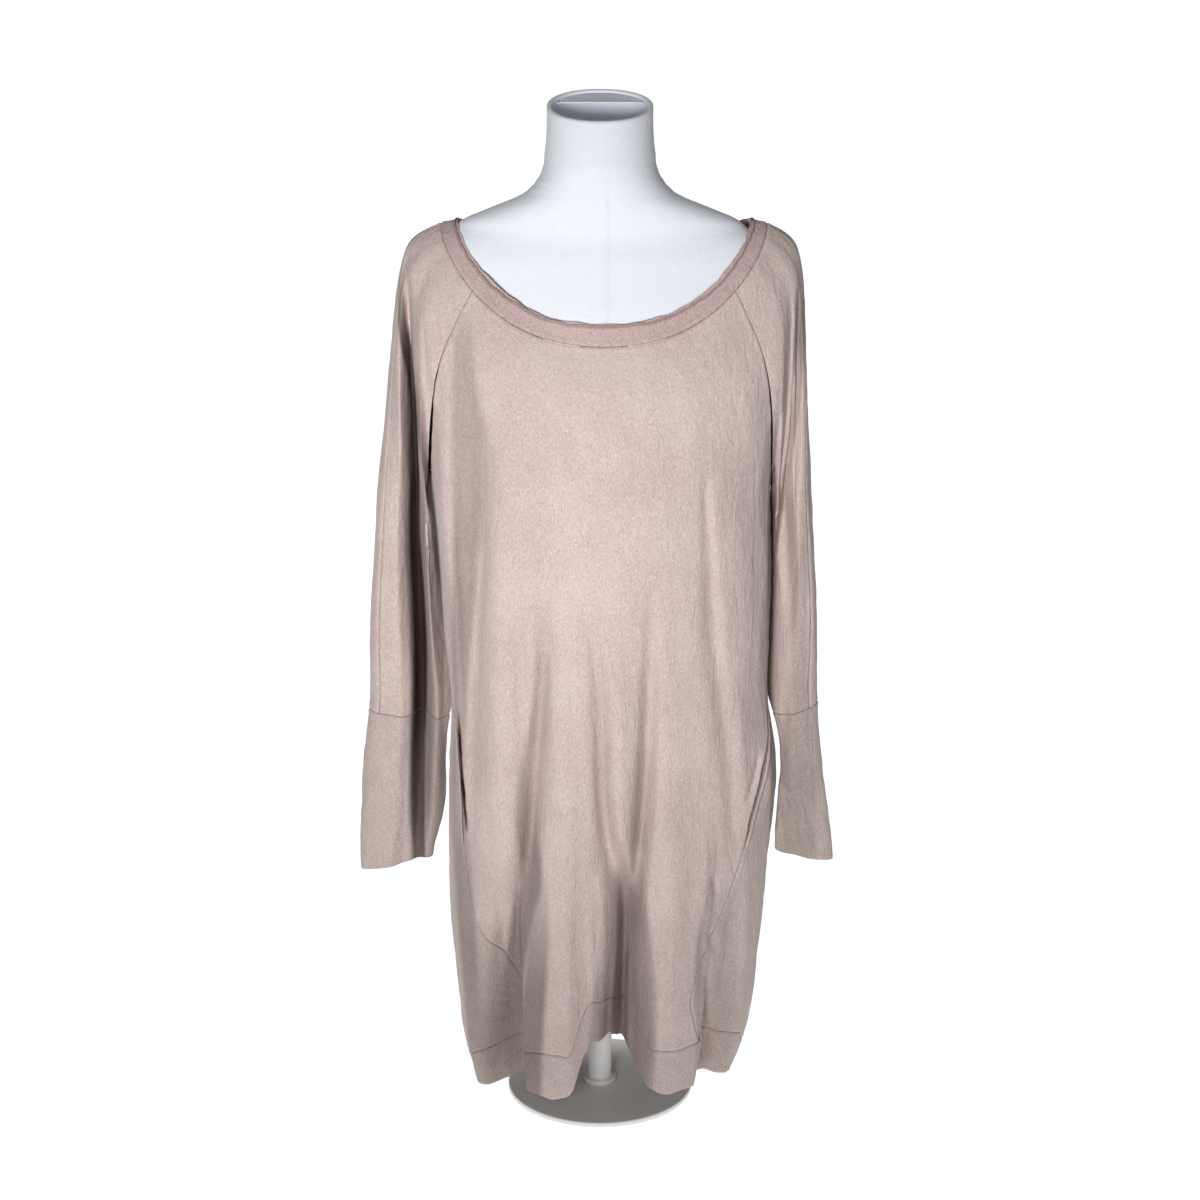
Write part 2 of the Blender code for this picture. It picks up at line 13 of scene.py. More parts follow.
import bpy
import numpy as np
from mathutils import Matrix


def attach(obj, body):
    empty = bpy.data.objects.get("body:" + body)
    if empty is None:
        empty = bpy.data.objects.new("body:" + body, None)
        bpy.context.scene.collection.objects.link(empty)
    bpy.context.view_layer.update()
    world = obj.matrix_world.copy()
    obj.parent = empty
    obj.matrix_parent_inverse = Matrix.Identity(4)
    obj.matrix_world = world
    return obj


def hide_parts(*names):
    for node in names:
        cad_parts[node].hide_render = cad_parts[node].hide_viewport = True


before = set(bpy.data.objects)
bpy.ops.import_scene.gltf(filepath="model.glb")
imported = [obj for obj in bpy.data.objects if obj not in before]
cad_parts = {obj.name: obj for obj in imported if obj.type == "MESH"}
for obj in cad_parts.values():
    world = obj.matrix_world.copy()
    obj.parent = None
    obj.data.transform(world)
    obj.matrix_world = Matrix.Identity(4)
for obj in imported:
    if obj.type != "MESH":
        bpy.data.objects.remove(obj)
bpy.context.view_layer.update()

# %% [markdown]
# ## The camera
#
# The garment is seen straight from the front and from a little above, as on a counter in
# a studio. A long lens at a distance of 2.3 m keeps the hem and the neck in proportion. The
# camera is made first. The angles are in degrees and the lens is in millimetres on a 36 mm
# wide sensor.

# %% Camera
LOOK_AT = (0.0, 0.0, 0.548)
DISTANCE, ELEVATION, LENS = 2.300, 15.0, 66.93

camera_data = bpy.data.cameras.new("camera")
camera_data.lens = LENS
camera_data.sensor_width = 36.0
camera = bpy.data.objects.new("camera", camera_data)
bpy.context.scene.collection.objects.link(camera)
lift = math.radians(ELEVATION)
camera.location = (0.0, -DISTANCE * math.cos(lift), LOOK_AT[2] + DISTANCE * math.sin(lift))
camera.rotation_euler = (math.radians(90.0 - ELEVATION), 0.0, 0.0)
bpy.context.scene.camera = camera
print("camera at", [round(v, 3) for v in camera.location])

# %% [markdown]
# ## Tables and curves
#
# A garment is drafted from a few measures at a few heights, so each form here is a short
# table with named columns. `along` reads a column at any place with a smooth curve through
# the rows, so a sleeve or a hem needs only the rows where it changes.

# %% Tables and curves
MM = 1000  # millimetres in a metre


def table(columns, *rows, unit=1):
    """Named columns from rows of numbers, in rising order of the first column. The numbers
    are divided by the unit, which is one for all columns or one for each."""
    values = np.array(rows, float) / unit
    return dict(zip(columns.split(), values[np.argsort(values[:, 0])].T))


def along(columns, name, at):
    """Smooth value of a column: each row's straight line, blended into the next row's."""
    first = next(iter(columns.values()))
    value = columns[name]
    slope = np.gradient(value, first)
    at = np.clip(at, first[0], first[-1])
    row = np.clip(np.searchsorted(first, at) - 1, 0, len(first) - 2)
    step = first[row + 1] - first[row]
    s = (at - first[row]) / step
    start = value[row] + s * step * slope[row]
    end = value[row + 1] - (1 - s) * step * slope[row + 1]
    blend = s * s * (3 - 2 * s)
    return start + (end - start) * blend


def bump(distance, flat=0.0):
    """A rounded hill: half a cosine wave from 1 at the flat share down to 0 at distance 1."""
    slope = np.clip((np.abs(distance) - flat) / (1 - flat), 0, 1)
    return 0.5 + 0.5 * np.cos(math.pi * slope)


def hill(distance):
    """A bell: the exponential of minus the distance squared."""
    return np.exp(-distance * distance)


def ramp(value, low, high):
    """0 below low, 1 above high, and the smooth step 3s^2 - 2s^3 between."""
    s = np.clip((value - low) / (high - low), 0, 1)
    return s * s * (3 - 2 * s)


def oval(turn, right, left, front, back, power):
    """A rounded oval: sine and cosine raised to a power, with a reach to each side."""
    across = np.sin(np.radians(turn))
    forward = np.cos(np.radians(turn))
    width = np.where(across < 0, right, left)
    depth = np.where(forward < 0, back, front)
    x = width * np.sign(across) * np.abs(across) ** power
    y = -depth * np.sign(forward) * np.abs(forward) ** power
    return x, y


print("a bump at half its reach is", bump(0.5), "and a bell there", round(hill(0.5), 3))

# %% [markdown]
# ## The body of the tunic
#
# The body is a loose tube that widens to the hips and is drawn in at the hem. These are the
# measures of the CAD model: the tables in millimetres and degrees of turn round the body (0
# is the centre front, 90 the wearer's left side), single values in metres. Only the lower
# edge of the hem is drawn finer, with rounder corners and a flatter arch. The largest folds
# start at the hips and grow towards the hem, where each draws the tube inwards.

# %% Body measures
UNDERARM = 0.670  # height where the sleeves part from the body
SHOULDER = 0.920  # height of the seam of the neck band at the shoulders
NECK_SHIFT = 0.004  # the neck opening sits a little to the wearer's left
FRONT_SEAM_TURN = 84.0  # where a front raglan seam ends on the body ring
RAGLAN_FRONT, RAGLAN_BACK = 50.0, 129.0  # turns where the raglan seams leave the neck
UNDER_ROUND = 0.862  # place round a sleeve where the raglan seams end
HEM_LEVEL = 0.080  # mean height of the seam of the hem band
CUFF_TOP = {"right": (0.427, 0.004), "left": (0.432, 0.006)}  # mean height, tilt
CUFF_END = {"right": (0.260, -0.008), "left": (0.269, -0.006)}
POCKET_LOW, POCKET_HIGH = 0.292, 0.445  # heights of the ends of a pocket mouth
POCKET_MOUTH = 3.2  # turn by which the front panel's edge stands back from the mouth
FOLD_FOOT = 0.040  # height at which a fold reaches the full depth of its table
SEAM_FALL = 0.95  # share of its fall that a fold has at the seam of the hem band
BODY_POWER, NECK_POWER, FORM_POWER = 0.89, 0.87, 0.94  # of the ovals, a plain ellipse is 1
SIDES = {"right": -1, "left": 1}

BODY = table(
    "height right left front back",
    (16, 135, 138, 119, 106), (64, 146.5, 155, 119, 110), (100, 150.5, 163, 118, 113),
    (158, 156, 169, 117, 115), (216, 159.5, 174.5, 117, 116), (273, 159.5, 177.5, 118, 116),
    (330, 158.5, 182, 119, 115), (385, 157.5, 183.5, 120, 114), (440, 155, 175, 122, 112),
    (505, 159, 173.5, 124, 110), (590, 165, 174.5, 125, 109), (670, 170.5, 172.5, 124, 112),
    unit=MM,
)
FOLDS = table(
    "hem_turn top_turn start wide flat depth lift",
    (-161, -165, 420, 20, 0.25, 30, 6), (-124, -130, 360, 18, 0.25, 22, 4),
    (-42, -34, 400, 13, 0.3, 46, 3), (3.5, 1, 400, 14, 0.35, 20, 40),
    (8, 4, 400, 9, 0.35, 52, 0), (51, 44, 320, 13, 0.3, 30, 0),
    (112, 118, 360, 17, 0.25, 20, 3), (150, 152, 400, 17, 0.25, 34, 6),
    (178, 178, 340, 15, 0.25, 24, 4),
    unit=(1, 1, MM, 1, 1, MM, MM),
)
HEM = table(
    "turn height depth",
    (-180, 66, 49), (-130, 64, 46), (-100, 52, 32), (-80, 49, 30), (-64, 67, 36), (-42, 88, 44),
    (-28, 90.5, 45), (-22, 91.5, 49), (-14, 92, 49), (-9, 93.5, 43), (-6.5, 101, 44),
    (-4, 105, 45), (0, 105, 46), (4, 98, 46), (9, 90, 44), (13, 96, 43), (17, 97, 43),
    (21, 95.5, 48), (32, 95.5, 49), (57, 92, 49), (70, 83, 43), (85, 62, 31), (100, 56, 30),
    (130, 64, 44), (180, 66, 49),
    unit=(1, MM, MM),
)
SIDE_SEAM = table(
    "height right left",
    (16, 31, 39), (90, 31, 38), (125, 32, 33), (165, 38, 32.5), (190, 43, 36), (220, 50, 42),
    (280, 58, 51), (320, 61, 55), (385, 65, 67), (440, 73, 79), (505, 84, 84), (620, 84, 84),
    (670, 84, 84),
    unit=(MM, 1, 1),
)


def fold_shape(turn, fall, hem_turn, top_turn, wide, flat):
    """Outline of one fold: a rounded hill of the turn from its centre over its half width."""
    centre = top_turn + (hem_turn - top_turn) * fall
    return bump(((turn - centre + 180) % 360 - 180) / wide, flat)


def folded(turn, height):
    """Sum over the folds of depth times the share fallen to the power 1.5 times outline."""
    turn, height = np.broadcast_arrays(turn, height)
    inward = np.zeros(turn.shape)
    for hem_turn, top_turn, start, wide, flat, depth, _ in zip(*FOLDS.values()):
        fall = np.clip((start - height) / (start - FOLD_FOOT), 0, 1.1)
        outline = fold_shape(turn, fall, hem_turn, top_turn, wide, flat)
        inward = inward + depth * fall**1.5 * outline
    return inward


def body(turn, height, out=0.0):
    """Outer face of the body tube: the oval at that height, moved in by the folds."""
    right, left, front, back = (
        along(BODY, side, height) for side in ("right", "left", "front", "back")
    )
    x, y = oval(turn, right, left, front, back, BODY_POWER)
    move = folded(turn, height) - out
    x = x - move * np.sin(np.radians(turn))
    y = y + move * np.cos(np.radians(turn))
    return np.stack([x, y, height + 0 * x], -1)


def hem_seam(turn):
    """Height of the seam of the hem band: the table's, plus each fold's lift."""
    height = along(HEM, "height", (turn + 180) % 360 - 180)
    for hem_turn, top_turn, _, wide, flat, _, lift in zip(*FOLDS.values()):
        height = height + lift * fold_shape(turn, SEAM_FALL, hem_turn, top_turn, wide, flat)
    return height


def seam_turn(side, height):
    """Turn of a side panel's front edge."""
    return along(SIDE_SEAM, side, height)


def along_mouth(height, flat=0.0):
    """A rounded hill of the height: 1 in the middle of a pocket mouth, 0 at its ends."""
    middle, half = (POCKET_LOW + POCKET_HIGH) / 2, (POCKET_HIGH - POCKET_LOW) / 2
    return bump((height - middle) / half, flat)


widest = body(np.arange(-180.0, 180.0), 0.385)
print("body at the hips", np.round(np.ptp(widest, 0)[:2] * 1000), "mm across and deep")

# %% [markdown]
# ## The sleeves, the neck opening and the shoulder yoke
#
# Below the underarm a sleeve is a flat tube with one long fold down its front. Above it,
# raglan seams run from the neck to the underarm, and body and sleeve share one surface:
# every thread of the yoke is a curve from the neck seam to the underarm, which bends round
# one guide point. That is how the cloth hangs over the shoulder of the form.

# %% Sleeve, neck and yoke measures
SLEEVE = {
    "right": table(
        "height outer inner deep fold",
        (250, 255, 180, 16, 8), (273, 255, 177, 17, 10), (320, 252.2, 165.5, 20, 14),
        (375, 249.4, 162, 22, 18), (430, 242.5, 159, 23, 21), (505, 239.6, 164.5, 25, 23),
        (600, 232.5, 170, 28, 26), (670, 225.5, 171.2, 31, 26),
        unit=MM,
    ),
    "left": table(
        "height outer inner deep fold",
        (250, 249.5, 187, 15, 3), (273, 247, 186.5, 16, 4), (330, 239, 188, 19, 4),
        (385, 233, 188.5, 21, 3), (440, 227.5, 180, 22, 3), (505, 226, 178, 24, 8),
        (590, 221.5, 178, 27, 22), (670, 214.5, 173.4, 30, 26),
        unit=MM,
    ),
}
SLEEVE_BACK = 0.004  # the sleeves hang this far behind the middle
SLEEVE_LINES = table(
    "height fold_round share seam_right seam_left",
    (250, 0.62, 1, 0.27, 0.31), (430, 0.62, 1, 0.26, 0.3), (600, 0.62, 1, 0.26, 0.27),
    (670, 0.61, 1, 0.25, 0.25), (740, 0.59, 0.9, 0.23, 0.21), (800, 0.54, 0.8, 0.18, 0.16),
    (860, 0.45, 0.25, 0.11, 0.1), (920, 0.4, 0, 0.04, 0.04),
    unit=(MM, 1, 1, 1, 1),
)
FOLD_WIDE = 0.17  # half width of the long fold round the sleeve
YOKE = table(
    "station across y height pull",
    (0, 0, -120, 765, 1), (0.5, 94, -113, 775, 1), (1, 168, -80, 800, 2),
    (1.25, 183, -68, 836, 2.4), (1.5, 192, -52, 869, 2.7), (1.75, 198, -28, 901, 3.6),
    (2, 199, 0, 915, 4.6), (2.5, 192, 50, 878, 2.8), (3, 162, 86, 800, 1.7),
    (3.5, 100, 114, 800, 1), (4, 0, 112, 800, 1),
    unit=(1, MM, MM, MM, 1),
)
STATIONS = (0, 1, 2, 3, 4)
NECK = table(
    "ring half_width front back side_height front_height back_height",
    (0, 161, 90, 88, 933.5, 823.6, 900), (1, 146, 83, 81, 936.5, 843, 917),
    (1.2, 143, 81.6, 79.6, 937.1, 846.9, 920.4),
    unit=(1, MM, MM, MM, MM, MM, MM),
)


def sleeve_fold(side, around, height, deep_at):
    """The long fold: its depth times its share times a rounded hill round the sleeve."""
    centre = along(SLEEVE_LINES, "fold_round", height)
    share = along(SLEEVE_LINES, "share", height)
    depth = along(SLEEVE[side], "fold", deep_at)
    return depth * share * bump((around - centre) / FOLD_WIDE)


def sleeve_ring(side, around, height):
    """Sleeve before its fold: an ellipse. Around is 0 outside, 1 inside by the front, -1 by
    the back."""
    outer, inner, deep = (along(SLEEVE[side], n, height) for n in ("outer", "inner", "deep"))
    x = (outer + inner) / 2 + (outer - inner) / 2 * np.cos(math.pi * around)
    y = SLEEVE_BACK * (1 - np.abs(around)) - deep * np.sin(math.pi * around)
    return np.stack([SIDES[side] * x, y, height + 0 * x], -1)


LEAN_IN, LEAN_BACK = 0.0062, 0.022  # how far a sleeve's inner edge leans in and back
LEAN_LOW, LEAN_HIGH = (0.40, 0.47), (0.635, 0.669)  # heights where the lean starts and ends


def sleeve(side, around, height):
    """Outer face of a sleeve below the underarm: the ring, moved back by the fold. Between
    chest and hip its inner edge leans in and back, against the side of the body."""
    points = sleeve_ring(side, around, height)
    points[..., 1] += sleeve_fold(side, around, height, height)
    lean = ramp(height, *LEAN_LOW) - ramp(height, *LEAN_HIGH)
    lean = lean * ramp(np.abs(around), 0.6, 1.0)
    points[..., 0] -= SIDES[side] * LEAN_IN * lean
    points[..., 1] += LEAN_BACK * lean
    return points


def neck(ring, turn):
    """Neck band, ring 0 at its seam and 1 at its raw edge: an oval whose height runs from
    the side's to the front's or the back's with the cosine to the power 1.4."""
    size = {name: along(NECK, name, ring) for name in NECK}
    half = size["half_width"]
    x, y = oval(turn, half, half, size["front"], size["back"], NECK_POWER)
    forward = np.cos(np.radians(turn))
    end = np.where(forward < 0, size["back_height"], size["front_height"])
    height = size["side_height"] + (end - size["side_height"]) * np.abs(forward) ** 1.4
    return np.stack([x + NECK_SHIFT, y, height], -1)


def station_turns(station):
    """Turn on the neck seam and on the body ring for each station of the yoke."""
    on_neck = np.interp(station, STATIONS, (0, RAGLAN_FRONT, 90, RAGLAN_BACK, 180))
    under = (0, FRONT_SEAM_TURN, 90, 180 - FRONT_SEAM_TURN, 180)
    return on_neck, np.interp(station, STATIONS, under)


def yoke(side, station, fall, end):
    """Yoke: a weighted curve of three points, the neck seam, the guide and the end."""
    sign = SIDES[side]
    start = neck(0.0, sign * station_turns(station)[0])
    across, y, height, pull = (along(YOKE, n, station) for n in ("across", "y", "height", "pull"))
    guide = np.stack([sign * across + NECK_SHIFT / 2, y, height], -1)
    flat = 0 * pull
    shares = np.stack([(1 - fall) ** 2 + flat, 2 * pull * fall * (1 - fall), fall**2 + flat])
    shares = shares / shares.sum(0)
    return sum(share[..., None] * point for share, point in zip(shares, (start, guide, end)))


def yoke_of_sleeve(side, around, fall):
    """The part of the yoke that the sleeve covers, with the top of its long fold."""
    points = yoke(side, 2 - around / UNDER_ROUND, fall, sleeve_ring(side, around, UNDERARM))
    points[..., 1] += sleeve_fold(side, around, points[..., 2], UNDERARM)
    return points


shoulder = yoke("left", np.array([2.0]), 0.5, sleeve_ring("left", np.array([0.0]), UNDERARM))
print("middle of the left shoulder line", np.round(shoulder[0] * 1000), "mm")

# %% [markdown]
# ## Folds and creases
#
# Jersey that hangs from the shoulders falls in long vertical folds, and where it has been
# packed or pulled it keeps fine creases. A simulation would hang them anywhere, so they are
# placed one by one. Each long fold is a table of its way down: how far across it is, its half
# width, and how far it stands out (or in, where the depth is negative). It is seen from one
# side and pushes the cloth straight towards or away from that side. A crease is one soft
# stroke between two points, which may be bowed. All numbers are in millimetres.

# %% Folds of the front
def long_fold(*rows):
    """The way down of a long fold: height, place across, half width and depth."""
    return table("height across wide depth", *rows, unit=MM)


def crease_table(*rows):
    """Creases: the place across and the height of both ends, bow, half width and depth."""
    return table("x0 z0 x1 z1 bow wide depth", *rows, unit=MM)


FRONT_FOLDS = [
    # the fold that drops from the right raglan seam, and its sharp edge
    long_fold(
        (850, -150, 6, 0), (800, -136, 9, -4), (760, -126, 12, -7), (700, -123, 14, -10),
        (640, -124, 14, -11), (580, -126, 13, -10), (480, -128, 10, -8), (380, -132, 9, -6),
        (300, -135, 8, 0),
    ),
    long_fold(
        (800, -120, 4, 0), (740, -115, 5, -3), (640, -115, 5, -4), (560, -120, 5, -4),
        (480, -123, 5, -3), (400, -125, 5, 0),
    ),
    # the broad ridge beside it, which runs down to the side panel
    long_fold(
        (740, -94, 16, 0), (640, -98, 16, 4), (500, -101, 17, 8), (380, -103, 17, 10),
        (280, -106, 15, 10), (200, -114, 12, 10), (120, -118, 12, 8), (50, -120, 12, 4),
    ),
    # the deep trough that ends beside the right lobe, and the soft one above it
    long_fold(
        (620, -54, 6, 0), (560, -55, 7, -4), (480, -58, 8, -14), (400, -64, 9.5, -22),
        (320, -70, 10, -26), (240, -78, 10, -14), (170, -86, 9, -6), (110, -88, 9, -2),
        (50, -88, 9, 0),
    ),
    long_fold(
        (600, -82, 6, 0), (520, -79, 7, -3), (450, -77, 8, -5), (380, -78, 8, -4),
        (330, -80, 8, 0),
    ),
    # the crown of the right lobe
    long_fold(
        (500, -30, 14, 0), (400, -32, 15, 4), (300, -34, 16, 6), (200, -36, 17, 6),
        (100, -40, 17, 3), (40, -45, 16, 0),
    ),
    # two troughs that meet in the centre fold, and the tongue between them
    long_fold(
        (600, -20, 4, 0), (550, -10, 5, -3), (500, -2, 6, -8), (420, 1, 7, -13),
        (360, 4, 7, -14), (310, 10, 7, -13), (260, 18, 7, -6), (220, 24, 6, 0),
    ),
    long_fold(
        (540, 20, 8, 0), (450, 20, 9, 4), (370, 21, 9, 6), (310, 23, 8, 6), (280, 25, 6, 3),
        (260, 26, 6, 0),
    ),
    long_fold(
        (600, 49, 6, 0), (540, 50, 7, -5), (470, 48, 7.5, -13), (380, 45, 8, -18),
        (300, 40, 8, -18), (240, 34, 8, -8), (180, 30, 7, 0),
    ),
    # the narrow dark bottom of the centre fold
    long_fold(
        (330, 20, 5, 0), (290, 23, 7, -14), (240, 25.5, 8, -22), (170, 25.5, 8.5, -24),
        (100, 25.5, 8.5, -12), (40, 25.5, 8.5, 0),
    ),
    # the lip of the right lobe, beside the centre fold
    long_fold(
        (300, 0, 6, 0), (250, 4, 7, 7), (180, 6, 8, 10), (110, 6, 8, 5), (55, 4, 8, 0),
    ),
    # the crown of the left lobe
    long_fold(
        (460, 68, 15, 0), (360, 71, 17, 5), (260, 73, 17, 7), (140, 74, 17, 6), (50, 76, 16, 2),
    ),
    # the fold that slants towards the left pocket, and the ridge beside it
    long_fold(
        (720, 101, 4, 0), (660, 104, 5, -4), (600, 108, 7, -6), (530, 113, 9, -7),
        (470, 120, 9, -6), (400, 129, 8, -4), (340, 134, 7, -3), (290, 136, 6, 0),
    ),
    long_fold(
        (475, 142, 6, 0), (420, 144, 6, 3), (360, 145, 6, 0),
    ),
    # the step beside the left lobe
    long_fold(
        (260, 106, 4, 0), (210, 105, 5, -6), (150, 107, 6, -9), (80, 109, 7, -9),
        (40, 111, 7, -7),
    ),
    # the brow and the line at the right edge of the chest
    long_fold(
        (787, -146.3, 4.9, 0), (717, -154.6, 5.9, 2.6), (605, -155.8, 5.9, 3.3),
        (523, -153, 4.9, 1.3), (482, -151.6, 4.9, 0),
    ),
    long_fold(
        (699, -148.5, 3.9, 0), (609, -143.8, 3.9, -2.8), (527, -142.1, 3.9, -3.5),
        (465, -140, 3.9, -2.8), (422, -139.6, 3.9, 0),
    ),
    # right sleeve: the slot, the pleat outside it, the drape's edge, the band
    long_fold(
        (890, -189, 4, 0), (840, -188.5, 4.5, -18), (760, -188, 5.5, -22),
        (680, -187, 6.5, -20), (600, -188.5, 9, -20), (510, -187.5, 9.5, -18),
        (430, -187.5, 9.5, -16), (340, -190, 9.5, -12), (270, -190.5, 9, -8),
    ),
    long_fold(
        (860, -199, 3, 0), (800, -199, 4, 3), (700, -196, 4.5, 5), (600, -195.5, 4.5, 7),
        (500, -195.5, 4.5, 7), (400, -196, 4.5, 7), (300, -201, 5, 5), (260, -202, 5, 3),
    ),
    long_fold(
        (860, -184.5, 3, 0), (820, -183.3, 3.5, 8), (760, -181.6, 3.5, 11),
        (680, -176.2, 3.5, 11), (630, -169.2, 3.5, 5), (606, -166.5, 3, 0),
    ),
    long_fold(
        (616, -176.5, 5, 0), (553, -175, 6, 8), (490, -172.5, 6, 8), (425, -170, 7, 6),
        (337, -176, 7, 5), (281, -181, 7, 3),
    ),
    # left sleeve: the same slot and edge, the gap at the chest, the long ridge
    long_fold(
        (884, 195.5, 3.5, 0), (840, 195, 4.5, -12), (760, 195.5, 5.5, -15),
        (680, 192, 6.5, -14), (616, 185, 7, -13), (553, 179, 7, -16), (468, 178.5, 6, -8),
        (425, 179, 5, 0),
    ),
    long_fold(
        (869, 191.1, 3, 0), (830, 191, 3, 7.8), (760, 189.6, 3.5, 10.4),
        (678, 185.3, 3.5, 10.4), (627, 179.3, 3.5, 5.2), (595, 175.9, 3, 0),
    ),
    long_fold(
        (760, 178.6, 3, 0), (719, 177.4, 4, -7.2), (658, 175.7, 4, -7.2), (616, 173.5, 3, 0),
    ),
    long_fold(
        (585, 190.4, 6.1, 0), (532, 193.6, 6.1, 3), (446, 197.5, 5.1, 3.7),
        (359, 201.5, 5.1, 2.3), (325, 203.3, 5.1, 0),
    ),
]
FRONT_CREASES = crease_table(
    (-71, 649, -54, 559, 0, 2.6, -1.4), (-84, 557, -64, 482, 0, 2.4, -1.4),
    (-19, 590, 4, 483, 0, 2.4, -1.5), (-31, 540, -26, 455, 0, 2.4, -0.8),
    (51, 518, 44, 488, 0, 2.6, -2), (39, 507, 51, 477, 0, 2.6, -1.7),
    (101, 706, 106, 616, 0, 2.6, -1.4), (53, 221, 60, 178, 0, 2.9, 1.4),
    (49, 216, 56, 171, 0, 2.6, -1.4), (-17, 347, 9, 288, 0, 2.6, -0.7),
    (4, 327, 14, 297, 0, 2.6, -0.8), (164, 410, 146, 350, -3, 4, -6.8),
    (115, 287, 119, 253, 0, 2.9, -3.4), (109, 229, 120, 186, 0, 3.9, -4.3),
    (-139, 184, -120, 154, 3, 2.6, -1.2), (-133, 156, -112, 134, 3, 2.6, -1.2),
    (-129, 123, -107, 116, 2, 2.6, -1.2), (-137, 205, -124, 187, 2, 2.6, -1),
    (-110, 734, -105, 706, 0, 2.4, -1), (38, 822, 34, 757, 0, 2.6, -0.7),
    (17, 813, 11, 785, 0, 2.4, -0.5), (-29, 766, -22, 709, 0, 2.4, -0.5),
    (208, 403, 216, 337, 0, 3.4, -3.4), (209, 364, 223, 296, 0, 3.4, -3.4),
    (188, 357, 207, 320, 0, 3.4, -3.4), (187, 325, 202, 281, 0, 4.9, -2.6),
    (198, 370, 206, 337, 0, 2.9, 1.7), (207, 320, 217, 281, 0, 2.9, 1.7),
    (-173, 860, -169, 760, 0, 2.9, -1.7), (-165, 830, -160, 740, 0, 2.9, 1.4),
    (-146, 836, -135, 806, 0, 2.9, 1.7), (-162, 852, -149, 808, 0, 2.9, -1.7),
)
print(len(FRONT_FOLDS), "long folds and", len(FRONT_CREASES["x0"]), "creases in front")

# %% [markdown]
# ## Folds of the back and the sides
#
# The back hangs from the shoulder blades in calmer folds than the front. The sides have few,
# because the side panels widen to the hem there and take up the fullness. The same tables
# serve: places across run along the width for the back, and along the depth for the sides.

# %% Folds of the back and the sides
BACK_FOLDS = [
    # from the right shoulder blade to the hem
    long_fold(
        (830, -140, 6, 0), (760, -125, 10, -3), (640, -108, 13, -5), (480, -102, 13, -4.5),
        (300, -106, 12, -5), (100, -112, 11, -4),
    ),
    long_fold(
        (640, -76, 12, 0), (500, -78, 15, 3), (300, -80, 16, 4), (120, -85, 15, 2),
    ),
    long_fold(
        (600, -42, 7, 0), (480, -46, 9, -4), (330, -50, 11, -6), (180, -52, 11, -6),
        (60, -53, 10, -3),
    ),
    # the middle of the back
    long_fold(
        (700, 8, 8, 0), (560, 6, 10, -2), (490, 4, 10, -0.5), (400, 2, 11, -0.5),
        (330, 3, 11, -4), (220, 4, 11, -5.5), (60, 6, 10, -3),
    ),
    long_fold(
        (560, 40, 12, 0), (400, 38, 15, 3), (220, 42, 15, 3), (80, 44, 15, 1),
    ),
    long_fold(
        (640, 70, 7, 0), (520, 74, 9, -3.5), (360, 78, 11, -6), (200, 82, 11, -6),
        (60, 84, 10, -3),
    ),
    # from the left shoulder blade
    long_fold(
        (840, 143, 6, 0), (770, 130, 9, -3), (650, 116, 12, -4.5), (500, 114, 11, -3.5),
        (380, 120, 10, 0),
    ),
    # the backs of the sleeves
    long_fold(
        (860, -188, 5, 0), (760, -193, 8, -5), (600, -198, 9, -6), (440, -201, 9, -5),
        (300, -210, 9, -3),
    ),
    long_fold(
        (860, 186, 5, 0), (760, 192, 8, -4.5), (600, 196, 8, -5.5), (440, 203, 9, -4.5),
        (300, 211, 9, -3),
    ),
]
BACK_CREASES = crease_table(
    (-60, 640, -44, 540, 0, 2.8, -0.9), (86, 660, 72, 560, 2, 2.8, -0.9),
    (12, 740, 6, 640, 0, 2.6, -0.6), (-24, 520, -12, 430, 0, 2.6, -0.8),
    (24, 360, 30, 280, 0, 2.8, -0.8), (-92, 330, -78, 260, 2, 2.8, -0.9),
    (100, 300, 108, 220, 0, 2.8, 0.8), (-22, 240, -28, 170, 0, 2.8, -0.8),
    (-210, 400, -216, 330, 0, 3.4, -1.8), (-200, 350, -218, 300, 0, 3.4, -1.6),
    (206, 380, 214, 310, 0, 3.4, -1.8), (-122, 200, -100, 170, 3, 2.8, -0.7),
    (110, 170, 130, 200, 3, 2.8, -0.7),
)
SIDE_FOLDS = {
    "right": [
        long_fold(
            (880, 8, 5, 0), (760, 12, 7, -1.2), (600, 8, 7, -1.5), (440, 6, 6, -0.8),
            (380, 6, 6, 0),
        ),
        long_fold(
            (230, -30, 10, 0), (150, -26, 12, -3.5), (50, -24, 12, -4),
        ),
        long_fold(
            (240, 42, 10, 0), (160, 40, 12, -3), (50, 38, 12, -4),
        ),
    ],
    "left": [
        long_fold(
            (880, -4, 5, 0), (740, -8, 7, -1.4), (580, -4, 7, -1.5), (440, 0, 6, -0.8),
            (380, 2, 6, 0),
        ),
        long_fold(
            (240, -34, 10, 0), (150, -34, 12, -3), (50, -32, 12, -4),
        ),
        long_fold(
            (240, 36, 10, 0), (160, 33, 12, -3.5), (50, 34, 12, -4),
        ),
    ],
}


def long_folds(folds, across, height):
    """Sum over the folds of depth times a bell of the distance over the half width."""
    total = 0 * across
    for way in folds:
        aside = (across - along(way, "across", height)) / along(way, "wide", height)
        total = total + along(way, "depth", height) * hill(aside)
    return total


def creases(strokes, across, height):
    """Sum over the strokes of depth times a rounded hill along each and a bell across it."""
    total = 0 * across
    for x0, z0, x1, z1, bow, wide, depth in zip(*strokes.values()):
        run = math.hypot(x1 - x0, z1 - z0)
        place = ((across - x0) * (x1 - x0) + (height - z0) * (z1 - z0)) / run**2 * 2 - 1
        aside = ((across - x0) * (z1 - z0) - (height - z0) * (x1 - x0)) / run
        aside = aside - bow * (1 - place**2)
        total = total + depth * bump(place, 0.3) * hill(aside / wide)
    return total


